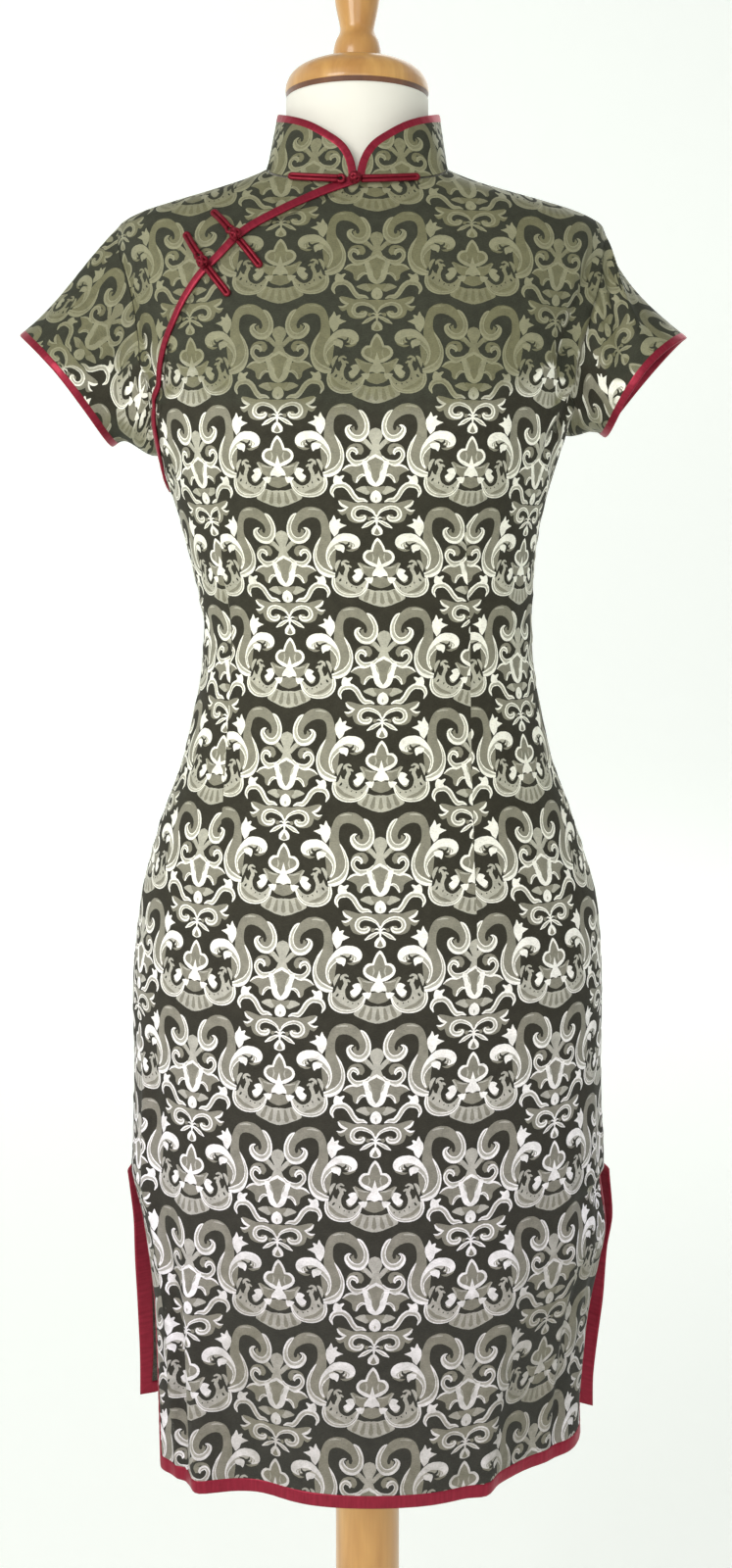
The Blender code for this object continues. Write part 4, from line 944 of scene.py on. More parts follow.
def tile_lines():
    """Points and edges of the outlines between tones in half a repeat: 0 to APART across, 0 to DROP up."""
    points, edges = [], []
    count = 0
    for _, ring in MOTIF:
        for lift in (-DROP, 0, DROP):
            for here in (ring + (0, lift), ring * (-1, 1) + (APART, DROP / 2 + lift)):
                low, high = here.min(axis=0), here.max(axis=0)
                if high[0] < 0 or low[0] > APART or high[1] < 0 or low[1] > DROP:
                    continue
                around = np.arange(len(here)) + count
                edges += np.column_stack([around, np.roll(around, -1)]).tolist()
                points.append(here)
                count += len(here)
    points.append(np.array([(0, 0), (APART, 0), (APART, DROP), (0, DROP)]))
    edges += [(count, count + 1), (count + 1, count + 2), (count + 2, count + 3), (count + 3, count)]
    made = delaunay_2d_cdt([Vector(p) for p in np.vstack(points)], edges, [], 0, 1e-4, False)
    points, faces = np.array([tuple(v) for v in made[0]]), np.array(made[2])
    middle = points[faces].mean(axis=1)
    keep = np.all((middle > 0) & (middle < (APART, DROP)), axis=1)
    faces, tones = faces[keep], tone_at(middle[keep])
    sides = np.sort(np.concatenate([faces[:, [0, 1]], faces[:, [1, 2]], faces[:, [2, 0]]]), axis=1)
    tones = np.tile(tones, 3)
    order = np.lexsort((sides[:, 1], sides[:, 0]))
    sides, tones = sides[order], tones[order]
    pair = np.all(sides[:-1] == sides[1:], axis=1) & (tones[:-1] != tones[1:])
    return only_used(points, sides[:-1][pair])


# ---- meshes ----


def add_object(name, points, faces, *finishes):
    mesh = bpy.data.meshes.new(name)
    mesh.from_pydata([tuple(map(float, point)) for point in points], [], faces)
    for finish in finishes:
        mesh.materials.append(finish)
    mesh.shade_smooth()
    made = bpy.data.objects.new(name, mesh)
    bpy.context.scene.collection.objects.link(made)
    return made


def turn_out(made):
    """Turns all faces the same way, out of a closed shape."""
    work = bmesh.new()
    work.from_mesh(made.data)
    bmesh.ops.recalc_face_normals(work, faces=work.faces)
    work.to_mesh(made.data)
    work.free()
    return made


def lay_map(made, places, name="cloth"):
    """A UV map in metres from one place for each vertex."""
    layer = made.data.uv_layers.new(name=name)
    corners = np.empty(len(made.data.loops), np.int32)
    made.data.loops.foreach_get("vertex_index", corners)
    layer.uv.foreach_set("vector", np.asarray(places, np.float32)[corners].ravel())
    return layer


def grid_faces(rows, columns, closed=False, looped=False, start=0):
    """Faces of a grid of points, which can be closed along its rows and looped from its last to its first."""
    faces = []
    for row in range(rows if looped else rows - 1):
        here, there = start + row * columns, start + (row + 1) % rows * columns
        for column in range(columns if closed else columns - 1):
            after = (column + 1) % columns
            faces.append((here + column, here + after, there + after, there + column))
    return faces


def wall_faces(rows, around, looped=False):
    """Faces of rings of points in a row, with both ends filled unless they are looped."""
    faces = grid_faces(rows, around, closed=True, looped=looped)
    if not looped:
        faces.append(tuple(range(around)))
        faces.append(tuple(range((rows - 1) * around, rows * around))[::-1])
    return faces


def lengths(points, axis):
    """Running length along one axis of a grid of points."""
    step = np.linalg.norm(np.diff(points, axis=axis), axis=-1)
    first = np.zeros_like(np.take(step, [0], axis=axis))
    return np.concatenate([first, np.cumsum(step, axis=axis)], axis=axis)


# ---- the cut: flat places in the cloth, in metres, against places on the dress ----

Dart = namedtuple("Dart", "side across low waist high width")
DARTS = [
    Dart(FRONT, -0.109, 0.868, 1.010, 1.135, 0.020),
    Dart(FRONT, 0.076, 0.770, 1.005, 1.120, 0.024),
    Dart(BACK, -0.082, 0.850, 1.010, 1.170, 0.024),
    Dart(BACK, 0.082, 0.850, 1.010, 1.170, 0.024),
]
FlatTable = namedtuple("FlatTable", "t s across up shares")
TABLE_ROWS, TABLE_COLUMNS = 150, 241


def flat_table(side):
    """How far across and up the flat cloth the places of a grid in (s, t) lie."""
    t = np.linspace(-0.004, RUN[-1], TABLE_ROWS)
    s = np.linspace(-1, 1, TABLE_COLUMNS)
    points = body_point(side, s[None, :], t[:, None])
    middle = TABLE_COLUMNS // 2
    across = lengths(points, 1)
    across = across - across[:, middle : middle + 1]
    up = lengths(points[:, middle : middle + 1], 0)[:, 0]
    shares = np.empty_like(across)
    for row in range(TABLE_ROWS):
        ends = np.where(s < 0, -across[row, 0], across[row, -1])
        shares[row] = np.interp(s * ends, across[row], s)
    return FlatTable(t, s, across, up - np.interp(0, t, up), shares)


def read_grid(grid, rows, columns):
    """A grid read between its points at fractional rows and columns."""
    rows = np.clip(rows, 0, grid.shape[0] - 1.000001)
    columns = np.clip(columns, 0, grid.shape[1] - 1.000001)
    r, c = rows.astype(int), columns.astype(int)
    u, v = rows - r, columns - c
    if grid.ndim == 3:
        u, v = u[:, None], v[:, None]
    near = grid[r, c] * (1 - v) + grid[r, c + 1] * v
    far = grid[r + 1, c] * (1 - v) + grid[r + 1, c + 1] * v
    return near * (1 - u) + far * u


def up_at(table, height):
    """How far up the flat cloth a height above the floor lies."""
    return np.interp(run_at(height), table.t, table.up)


def across_at(table, s, t):
    """How far across the cloth, without its darts, places (s, t) lie."""
    rows = np.interp(t, table.t, np.arange(TABLE_ROWS))
    return read_grid(table.across, rows, (s + 1) / 2 * (TABLE_COLUMNS - 1))


def dart_width(dart, table, up):
    """Width of cloth that a dart takes in at heights up the flat cloth."""
    marks = [up_at(table, height) for height in (dart.low, dart.waist, dart.high)]
    share = np.interp(up, marks, [0, 1, 0])
    return dart.width * (1 - (1 - share) ** 1.35)


DRIFT = 0.0165  # the grain leans this much across for each metre down, below DRIFT_UP
DRIFT_UP = 0.62


def grain_lean(side, up):
    return DRIFT * np.maximum(DRIFT_UP - up, 0) if side == FRONT else 0 * up


def to_flat(side, table, s, t):
    """Flat places of (s, t)."""
    across = across_at(table, s, t)
    up = np.interp(t, table.t, table.up)
    flat = across.copy()
    for dart in DARTS:
        if dart.side == side:
            hand = np.sign(dart.across)
            beyond = across * hand > dart.across * hand
            flat += np.where(beyond, hand * dart_width(dart, table, up), 0)
    return np.column_stack([flat + grain_lean(side, up), up])


def from_flat(side, table, flat):
    """(s, t) of flat places."""
    across, up = flat[:, 0] - grain_lean(side, flat[:, 1]), flat[:, 1]
    for dart in DARTS:
        if dart.side == side:
            hand = np.sign(dart.across)
            edge = dart.across * hand
            taken = np.maximum(across * hand - dart_width(dart, table, up), edge)
            across = np.where(across * hand > edge, taken, across * hand) * hand
    t = np.interp(up, table.up, table.t)
    rows = np.interp(t, table.t, np.arange(TABLE_ROWS))
    left, right = (read_grid(table.across, rows, np.full(len(rows), end)) for end in (0, TABLE_COLUMNS - 1))
    ends = np.where(across < 0, -left, right)
    share = np.clip(across / ends, -1, 1)
    s = read_grid(table.shares, rows, (share + 1) / 2 * (TABLE_COLUMNS - 1))
    return s, t


# ---- cloth with its pattern ----

PX = 0.1425 / DROP  # metres in one unit of the chart
MOTIF_AT = 1.0385  # height of the chart's origin on the panels
LATTICE = 0.0085  # spacing of the points that carry the folds between the pattern's outlines
LATTICE_ASIDE = 0.00037  # a shift, so that they don't line up with the ring and the pattern
MM = 1000  # the triangulation works in millimetres
BAKE_MARGIN = 0.01


def pattern_lines(low, high, start):
    """Points and edges of the chart's outlines over a flat region, in metres."""
    points, edges = TILE
    found, joined, count = [], [], 0
    first = np.floor((low - start) / PX / (2 * APART, DROP)).astype(int) - 1
    last = np.ceil((high - start) / PX / (2 * APART, DROP)).astype(int) + 1
    for column in range(first[0], last[0] + 1):
        for row in range(first[1], last[1] + 1):
            for mirror in (1, -1):
                across = 2 * APART * column + mirror * points[:, 0]
                here = np.column_stack([across, points[:, 1] + DROP * row]) * PX + start
                near = np.all((here > low - 0.004) & (here < high + 0.004), axis=1)
                kept = edges[near[edges].any(axis=1)]
                if len(kept):
                    found.append(here)
                    joined.append(kept + count)
                    count += len(here)
    found, joined = np.vstack(found), np.vstack(joined)
    found, where = np.unique(np.round(found, 7), axis=0, return_inverse=True)
    joined = np.unique(np.sort(where.reshape(-1)[joined], axis=1), axis=0)
    return only_used(found, joined)


def drop_far(points, edges, ring, within):
    """The edges that have an end inside a ring or within so much of it."""
    keep = inside(points, ring)
    near = np.zeros(len(points), bool)
    index = np.nonzero(~keep)[0]
    if len(index):
        gap = np.min(np.linalg.norm(points[index][:, None] - ring[None, ::3], axis=2), axis=1)
        near[index] = gap < within
    use = (keep | near)[edges].any(axis=1)
    return edges[use]


def cloth_mesh(name, ring, holes, place, start, extra=()):
    """A sheet cut to ring in the flat cloth and put in place, each face in the tone of the chart there. Its
    area, and its width and length, go with it."""
    low, high = ring.min(axis=0), ring.max(axis=0)
    points, edges = pattern_lines(low, high, start)
    edges = drop_far(points, edges, ring, within=0.012)
    points, edges = only_used(points, edges)
    count = [int(n) for n in np.ceil((high - low) / LATTICE)]
    lattice = [np.linspace(low[k], high[k], count[k] + 1) + LATTICE_ASIDE for k in (0, 1)]
    lattice = np.stack(np.meshgrid(*lattice), axis=-1).reshape(-1, 2)
    lattice = lattice[inside(lattice, ring)]
    verts, lines = [points, lattice], [edges]
    total = len(points) + len(lattice)
    for loop in [ring, *holes]:
        around = np.arange(len(loop)) + total
        lines.append(np.column_stack([around, np.roll(around, -1)]))
        verts.append(loop)
        total += len(loop)
    for more in extra:
        verts.append(more)
        total += len(more)
    verts, lines = np.vstack(verts) * MM, np.vstack(lines)
    made = delaunay_2d_cdt([Vector(v) for v in verts], lines.tolist(), [], 0, 2e-4, False)
    flat = np.array([tuple(v) for v in made[0]]) / MM
    faces = np.array(made[2])
    middle = flat[faces].mean(axis=1)
    keep = inside(middle, ring)
    for hole in holes:
        keep &= ~inside(middle, hole)
    faces, middle = faces[keep], middle[keep]
    flat, faces = only_used(flat, faces)
    tones = tone_at((middle - start) / PX)
    points, normals = place(flat)
    corner = points[faces]
    facing = np.cross(corner[:, 1] - corner[:, 0], corner[:, 2] - corner[:, 0])
    if np.sum(facing * normals[faces[:, 0]]) < 0:
        faces = faces[:, ::-1]
    made = add_object(name, points, faces.tolist(), *BROCADE)
    made.data.polygons.foreach_set("material_index", tones.astype(np.int32))
    made.data.normals_split_custom_set_from_vertices(normals.tolist())
    lay_map(made, flat)
    span = high - low
    lay_map(made, (flat - low) / span.max() * (1 - 2 * BAKE_MARGIN) + BAKE_MARGIN, "OFBake")
    made.data.uv_layers.active_index = 0
    return made, ring_area(ring, holes), span


def ring_area(ring, holes=()):
    """The area inside a ring and outside its holes."""

    def area(loop):
        after = np.roll(loop, -1, axis=0)
        return abs(np.sum(loop[:, 0] * after[:, 1] - loop[:, 1] * after[:, 0])) / 2

    return area(ring) - sum(area(hole) for hole in holes)


# ---- panels ----


def slit_edge(t, side=BACK):
    """What the binding takes off a slit's edge. The front's also falls back a little below its head."""
    below = run_at(SLIT_TOP) - t
    edge = SLIT_INSET * ease(below / SLIT_LEDGE)
    if side == FRONT:
        fall = ease(below / SLIT_FALL_BY) * ease((SLIT_FALL_END - below) / SLIT_FALL_FADE)
        edge = edge + SLIT_FALL * fall
    return edge


SKIRT_ROWS, BODY_ROWS, ARM_ROWS, SHOULDER_ROWS, OPENING_ROWS, HEM_COLUMNS = 50, 50, 48, 14, 90, 90
UNDERLAP_IN = 0.006  # how far the underlap reaches under the opening's edge
DART_DIP, DART_DIP_WIDE = 0.0013, 0.0020  # how deep and how widely the cloth dips into a dart's seam
DART_FULL = 0.004  # width of cloth taken in at which the dip is complete
DART_LINES = (0.0014, 0.0035)  # where points beside a dart's seam carry the dip


def armhole(hand):
    """(s, t) up an armhole's edge, on the +X side."""
    low, high = run_at(PIT[hand]), run_at(SHOULDER_TIP)
    turn = np.linspace(0, math.pi, ARM_ROWS + 1)
    t = (low + high) / 2 - (high - low) / 2 * np.cos(turn)
    return np.column_stack([1 - ARMHOLE_DEEP * np.sin(turn), t])


def shoulder_rows():
    """t from the shoulder's tip, without it, to the neck."""
    return np.linspace(run_at(SHOULDER_TIP), neckline(FRONT, 1), SHOULDER_ROWS + 1)[1:]


def edge_up(hand, side):
    """(s, t) up a panel's side from the hem to the neck."""
    slit, pit = run_at(SLIT_TOP), run_at(PIT[hand])
    skirt = np.concatenate([np.linspace(HEM_T, slit - SLIT_LEDGE, SKIRT_ROWS), [slit]])
    body = np.linspace(slit, pit, BODY_ROWS + 1)[1:]
    rows = [(1 - slit_edge(t, side), t) for t in skirt] + [(1, t) for t in body[:-1]]
    rows += list(armhole(hand)) + [(1, t) for t in shoulder_rows()]
    rows = np.array(rows)
    rows[:, 0] *= hand
    return rows


def opening_path(offset, count=OPENING_ROWS):
    """(s, t) along the opening's edge from the side seam to the neck, moved outwards by offset metres."""
    path = smooth_path(OPENING, count)
    steps = unit(np.gradient(path, axis=0))
    out = np.column_stack([-steps[:, 1], steps[:, 0]])
    moved = path + out * offset
    s, t = on_front(moved[:, 0], moved[:, 1])
    return np.column_stack([s, t])


def panel_ring(side):
    """(s, t) round the front, which ends at the opening's edge, or round the back."""
    right = edge_up(RIGHT, side)
    if side == FRONT:
        end = run_at(OPENING_END)
        opening = opening_path(0)
        side_up = edge_up(LEFT, side)
        left = np.vstack([side_up[side_up[:, 1] < end - 1e-4], opening])
    else:
        left = edge_up(LEFT, side)
    across = np.linspace(right[-1, 0], left[-1, 0], 60)[1:-1]
    neck = np.column_stack([across, neckline(side, across)])
    across = np.linspace(left[0, 0], right[0, 0], HEM_COLUMNS)[1:-1]
    hem = np.column_stack([across, np.full(len(across), HEM_T)])
    return np.vstack([right, neck, left[::-1], hem])


def underlap_ring():
    """(s, t) round the piece under the opening."""
    foot, pit = run_at(UNDERLAP_FOOT), run_at(PIT[LEFT])
    seam = [(-1, t) for t in np.linspace(foot, pit, 8)[:-1]]
    arm = armhole(LEFT) * (-1, 1)
    shoulder = [(-1, t) for t in shoulder_rows()]
    inner = opening_path(3 * GAP - UNDERLAP_IN)
    inner = inner[inner[:, 1] > foot]
    across = np.linspace(-1, inner[-1, 0], 30)[1:-1]
    neck = np.column_stack([across, neckline(FRONT, across)])
    return np.vstack([seam, arm, shoulder, neck, inner[::-1]])


def dart_holes(side, table):
    """Rings of the cloth that darts take in, and lines of points beside them."""
    holes, extra = [], []
    for dart in DARTS:
        if dart.side != side:
            continue
        up = np.linspace(up_at(table, dart.low), up_at(table, dart.high), 60)
        width = dart_width(dart, table, up)
        hand = np.sign(dart.across)
        lean = grain_lean(side, up)
        near = np.column_stack([dart.across + lean, up])
        far = np.column_stack([dart.across + hand * width + lean, up])
        holes.append(np.vstack([near, far[::-1][1:-1]]))
        for aside in DART_LINES:
            extra += [near - (hand * aside, 0), far + (hand * aside, 0)]
    return holes, extra


def dart_pinch(side, table, flat, s, t):
    """How far the cloth dips into its dart seams."""
    across = across_at(table, s, t)
    dip = np.zeros(len(s))
    for dart in DARTS:
        if dart.side == side:
            here = np.clip(dart_width(dart, table, flat[:, 1]) / DART_FULL, 0, 1)
            dip += DART_DIP * here * np.exp(-(((across - dart.across) / DART_DIP_WIDE) ** 2))
    return dip


def add_panel(name, side, outline, start):
    """The outer face of the front, the back or the underlap."""
    table = TABLES[side]
    ring = to_flat(side, table, outline[:, 0], outline[:, 1])
    holes, extra = dart_holes(side, table) if name in ("front", "back") else ([], [])

    def place(flat):
        s, t = from_flat(side, table, flat)
        points, normals = body_frame(side, s, t)
        return points - normals * dart_pinch(side, table, flat, s, t)[:, None], normals

    return cloth_mesh(name + "_cloth", ring, holes, place, start, extra)


def lining_grid(outline, rows, columns):
    """(s, t) on a grid inside an outline, row by row between its leftmost and rightmost places."""
    t = np.linspace(outline[:, 1].min() + 0.0005, outline[:, 1].max() - 0.002, rows)
    after = np.roll(outline, -1, axis=0)
    grid = []
    for height in t:
        cross = (outline[:, 1] > height) != (after[:, 1] > height)
        a, b = outline[cross], after[cross]
        s = a[:, 0] + (height - a[:, 1]) / (b[:, 1] - a[:, 1]) * (b[:, 0] - a[:, 0])
        grid.append(np.column_stack([np.linspace(s.min(), s.max(), columns), np.full(columns, height)]))
    return np.array(grid)


def add_lining(name, side, outline, rows, columns):
    """The wrong side of a panel, a little inside it. The neckline's dip is left to the collar."""
    grid = lining_grid(outline, rows, columns)
    keep = grid[..., 1] <= neckline(side, grid[..., 0]) + 0.0005
    points, normals = body_frame(side, grid[..., 0], grid[..., 1])
    points = points - normals * LINING_IN
    faces = [f for f in grid_faces(rows, columns) if all(keep.reshape(-1)[list(f)])]
    if side == FRONT:
        faces = [f[::-1] for f in faces]
    made = add_object(name + "_lining", points.reshape(-1, 3), faces, LINING)
    flat = to_flat(side, TABLES[side], grid[..., 0].ravel(), grid[..., 1].ravel())
    lay_map(made, flat)
    return made


# ---- sleeves ----

SLEEVE_COLUMNS, SLEEVE_ROWS = 120, 44
SLEEVE_LEAVE, SLEEVE_ARRIVE = 0.36, 0.33  # shares of its length that the wall keeps either end's direction
SLEEVE_INWARD = 0.25  # how much the first direction leans into the armhole


def sleeve_grid(hand):
    """Outer points of a sleeve, [along, around], from the top by the front to the back, and normals."""
    turn = np.arange(SLEEVE_COLUMNS) * 2 * math.pi / SLEEVE_COLUMNS
    low, high = run_at(PIT[hand]), run_at(SHOULDER_TIP)
    t = (low + high) / 2 + (high - low) / 2 * np.cos(turn)
    s = hand * (1 - ARMHOLE_DEEP * np.abs(np.sin(turn)))
    front = turn < math.pi
    points, normals = body_frame(FRONT, s, t)
    behind, behind_normals = body_frame(BACK, s, t)
    points[~front], normals[~front] = behind[~front], behind_normals[~front]
    points[[0, SLEEVE_COLUMNS // 2], 1] = 0
    into = points.mean(axis=0) - points
    into = unit(into - normals * np.sum(into * normals, axis=-1, keepdims=True))
    start = points + into * SLEEVE_SEAM

    hem = SLEEVE_HEMS[hand]
    top, bottom = np.array([hem.top.x, 0, hem.top.z]), np.array([hem.bottom.x, 0, hem.bottom.z])
    upright = (top - bottom) / 2
    axis = unit(np.array([-upright[2], 0, upright[0]]) * -hand)
    wobble = -hem.tuck * np.clip(np.sin(turn), 0, 1) ** 2
    end = (top + bottom) / 2 + np.outer(np.cos(turn), upright)
    end = end + np.outer(np.sin(turn), [0, -hem.half_depth, 0]) + np.outer(wobble, axis)
    reach = np.linalg.norm(end - start, axis=1, keepdims=True)
    down = np.outer(hem.start_down * np.clip(np.cos(turn), 0, 1) ** 2, (0, 0, -1))
    leave = unit(axis + SLEEVE_INWARD * into + down)
    first, second = start + leave * reach * SLEEVE_LEAVE, end - axis * reach * SLEEVE_ARRIVE
    grid = []
    for v in np.linspace(0, 1, SLEEVE_ROWS + 1) ** 1.2:
        w = 1 - v
        grid.append(w**3 * start + 3 * w * w * v * first + 3 * w * v * v * second + v**3 * end)
    grid = np.array(grid)
    grid = grid + sleeve_folds(hand, turn)[..., None] * outward(grid, normals)
    return grid, outward(grid, normals)


def outward(grid, first):
    """Normals of a sleeve's wall, out of it, which start from the normals of the armhole."""
    along = np.gradient(grid, axis=0)
    around = np.roll(grid, -1, axis=1) - np.roll(grid, 1, axis=1)
    wall = unit(np.cross(along, around))
    out = grid - grid.mean(axis=1, keepdims=True)
    wall *= np.where(np.sum(wall * out, axis=(1, 2)) < 0, -1.0, 1.0)[:, None, None]
    wall[0] = first
    for row in range(1, 5):
        wall[row] = unit(wall[row] * row + first * (5 - row) * 0.4)
    return wall


# Soft folds of the sleeves: from one place (turn in degrees from the top by the front, share from armhole
# to hem) to another.
SleeveFold = namedtuple("SleeveFold", "hand turn0 along0 turn1 along1 wide proud")
SLEEVE_FOLDS = [
    SleeveFold(LEFT, 62, 0.02, 84, 1.00, 10, 0.0022),
    SleeveFold(LEFT, 96, 0.05, 112, 0.95, 8, -0.0020),
    SleeveFold(LEFT, 128, 0.02, 140, 0.80, 9, 0.0017),
    SleeveFold(LEFT, 250, 0.02, 236, 0.95, 12, 0.0015),
    SleeveFold(LEFT, 290, 0.05, 280, 1.00, 10, -0.0012),
    SleeveFold(RIGHT, 30, 0.00, 74, 0.85, 8, 0.0036),
    SleeveFold(RIGHT, 50, 0.00, 102, 0.90, 8, -0.0036),
    SleeveFold(RIGHT, 82, 0.02, 124, 0.92, 8, 0.0030),
    SleeveFold(RIGHT, 118, 0.00, 146, 0.80, 7, -0.0022),
    SleeveFold(RIGHT, 262, 0.02, 228, 0.95, 13, 0.0018),
    SleeveFold(RIGHT, 300, 0.00, 270, 0.90, 10, -0.0014),
]


def sleeve_folds(hand, turn):
    """How far the folds push a sleeve's wall out."""
    along = np.linspace(0, 1, SLEEVE_ROWS + 1)[:, None]
    total = np.zeros((SLEEVE_ROWS + 1, len(turn)))
    for fold in SLEEVE_FOLDS:
        if fold.hand != hand:
            continue
        share = (along - fold.along0) / (fold.along1 - fold.along0)
        middle = np.radians(fold.turn0 + (fold.turn1 - fold.turn0) * share)
        away = np.angle(np.exp(1j * (turn[None, :] - middle)))
        fade = ease(share * 3.0 + 0.25) * ease((1.15 - share) * 3)
        total += fold.proud * fade * np.exp(-((away / math.radians(fold.wide)) ** 2))
    return total * ease(along * 8)


def from_underarm(grid):
    """A sleeve's grid in order from the underarm seam, at turn 180 degrees, round to that seam again."""
    half = SLEEVE_COLUMNS // 2
    return np.concatenate([grid[:, half:], grid[:, : half + 1]], axis=1)


def sleeve_flat(grid):
    """Flat places of a sleeve's wrapped grid: straight along the hem, curved at the armhole."""
    half = SLEEVE_COLUMNS // 2
    wrapped = from_underarm(grid)
    across = lengths(wrapped, 1)
    across = across - across[:, half : half + 1]
    up = lengths(wrapped[::-1], 0)[::-1]
    return wrapped, np.stack([across, up], axis=-1)


WALK_STEPS = 30
ROW_STRIDE, COLUMN_STRIDE = 6, 9  # the longest step, in cells


def grid_place(points, normals, flat):
    """A function from flat places to points and normals, by walking to each place on a grid's flat map."""
    rows, columns = flat.shape[:2]

    def slope(row, column, axis):
        """How the flat place changes with one row or one column, from half a cell to either side."""
        ahead, behind = [row, column], [row, column]
        ahead[axis] = np.clip(ahead[axis] + 0.5, 0, flat.shape[axis] - 1)
        behind[axis] = np.clip(behind[axis] - 0.5, 0, flat.shape[axis] - 1)
        return (read_grid(flat, *ahead) - read_grid(flat, *behind)) / (ahead[axis] - behind[axis])[:, None]

    def place(wanted):
        row = np.full(len(wanted), (rows - 1) / 2)
        column = np.full(len(wanted), (columns - 1) / 2)
        for _ in range(WALK_STEPS):
            by_row, by_column = slope(row, column, 0), slope(row, column, 1)
            miss = wanted - read_grid(flat, row, column)
            scale = by_row[:, 0] * by_column[:, 1] - by_row[:, 1] * by_column[:, 0]
            scale = np.where(np.abs(scale) < 1e-12, 1e-12, scale)
            move_row = (miss[:, 0] * by_column[:, 1] - miss[:, 1] * by_column[:, 0]) / scale
            move_column = (by_row[:, 0] * miss[:, 1] - by_row[:, 1] * miss[:, 0]) / scale
            row = np.clip(row + np.clip(move_row, -ROW_STRIDE, ROW_STRIDE), 0, rows - 1)
            column = np.clip(column + np.clip(move_column, -COLUMN_STRIDE, COLUMN_STRIDE), 0, columns - 1)
        return read_grid(points, row, column), unit(read_grid(normals, row, column))

    return place


def grid_ring(flat):
    """The outline of a grid of flat places."""
    return np.vstack([flat[0], flat[1:-1, -1], flat[-1][::-1], flat[1:-1, 0][::-1]])


def add_sleeve(hand):
    """A sleeve with its wrong side and its hem's binding."""
    name = "sleeve_left" if hand == LEFT else "sleeve_right"
    grid, normals = sleeve_grid(hand)
    wrapped, flat = sleeve_flat(grid)
    half = SLEEVE_COLUMNS // 2
    place = grid_place(wrapped, from_underarm(normals), flat)
    made, area, span = cloth_mesh(name + "_cloth", grid_ring(flat), [], place, SLEEVE_START[hand])
    inner = grid - normals * LINING_IN
    faces = [face[:: int(hand)] for face in grid_faces(*grid.shape[:2], closed=True)]
    lining = add_object(name + "_lining", inner.reshape(-1, 3), faces, LINING)
    places = np.concatenate([flat[:, half:-1], flat[:, :half]], axis=1)
    lay_map(lining, places.reshape(-1, 2))
    edge, out = grid[-1], normals[-1]
    side = 1 if np.dot(np.cross(edge[1] - edge[0], out[0]), edge[0] - grid[-2][0]) > 0 else -1
    band = add_band(name + "_trim", edge, out, SLEEVE_BAND, loop=True, side=side)
    finish_piece(made, name)
    finish_piece(lining, None)
    finish_piece(band, name + "_binding")


# ---- bindings ----

BAND_AROUND = 14
EDGE_LAP = 0.0007  # how far a binding lies over the cloth's edge
RIPPLE = 0.00012  # height of the satin's unevenness along a binding


def across_of(path, normals, loop=False):
    """Directions across a line on a surface, longer at its corners so that a strip keeps its width."""
    if loop:
        steps = unit(np.roll(path, -1, axis=0) - path)
        before, after = np.roll(steps, 1, axis=0), steps
    else:
        steps = unit(np.diff(path, axis=0))
        before, after = np.vstack([steps[:1], steps]), np.vstack([steps, steps[-1:]])
    sides = unit(np.cross(before, normals)), unit(np.cross(after, normals))
    middle = unit(sides[0] + sides[1])
    corner = np.sum(middle * sides[0], axis=-1, keepdims=True)
    return middle / np.maximum(corner, 0.6)


def add_band(name, path, normals, width, near=-EDGE_LAP, lift=-CLOTH / 2, loop=False, side=1):
    """A folded satin strip over an edge: a flat pillow with a rounded outer fold. It reaches from near to
    near + width beyond the edge, each one value or one for each station."""
    across = side * across_of(path, normals, loop)
    turn = np.arange(BAND_AROUND) * 2 * math.pi / BAND_AROUND
    fold = 0.5 - 0.5 * np.sign(np.cos(turn)) * np.abs(np.cos(turn)) ** 0.55
    near, width = (np.broadcast_to(value, len(path))[:, None] for value in (near, width))
    wide = near + width * fold
    tall = lift + SATIN / 2 * np.sign(np.sin(turn)) * np.abs(np.sin(turn)) ** 0.5
    run = lengths(path[:, None], 0)[:, 0]
    ripple = RIPPLE * np.sin(run * 900 + 2 * np.sin(run * 130)) * ease(run / 0.01)
    sections = path[:, None] + across[:, None] * wide[..., None] + normals[:, None] * tall[None, :, None]
    sections = sections + normals[:, None] * (ripple[:, None] * np.sin(turn)[None, :])[..., None]
    faces = wall_faces(len(path), BAND_AROUND, loop)
    made = turn_out(add_object(name, sections.reshape(-1, 3), faces, SATIN_FINISH))
    lay_map(made, np.column_stack([np.repeat(run, BAND_AROUND), wide.ravel()]))
    return made


SKIRT_LAP = 0.0030  # how far the skirt's bindings lie over the cloth
SLIT_LAP = 0.0010  # and how much further on the back's slits
SLIT_WIDER = 0.0026  # how much further they reach beyond the edge there
SKIRT_LIFT = 0.0004  # how far they stand off it


def add_skirt_binding(name, side):
    """The binding down one slit of a panel, along its hem and up the other slit."""
    slit = run_at(SLIT_TOP)
    down = np.linspace(slit - SLIT_LEDGE - 2 * GAP, HEM_T, 70)
    left = [(-1 + slit_edge(t, side), t) for t in down]
    right = [(1 - slit_edge(t, side), t) for t in down[::-1]]
    hem = [(s, HEM_T) for s in np.linspace(left[-1][0], right[0][0], 110)[1:-1]]
    path = np.array(left + hem + right)
    points, normals = body_frame(side, path[:, 0], path[:, 1])
    lap, wide = np.full(len(path), SKIRT_LAP), np.full(len(path), HEM_BAND - EDGE_LAP)
    if side == BACK:
        up_slit = ease(1.6 * np.maximum(path[:, 1] - HEM_T, 0) / (slit - HEM_T))
        lap += SLIT_LAP * ease(np.maximum(path[:, 1] - HEM_T, 0) / 0.03)
        wide += SLIT_WIDER * up_slit
    return add_band(name, points, normals, wide + lap, -lap, SKIRT_LIFT - CLOTH / 2, side=-side)


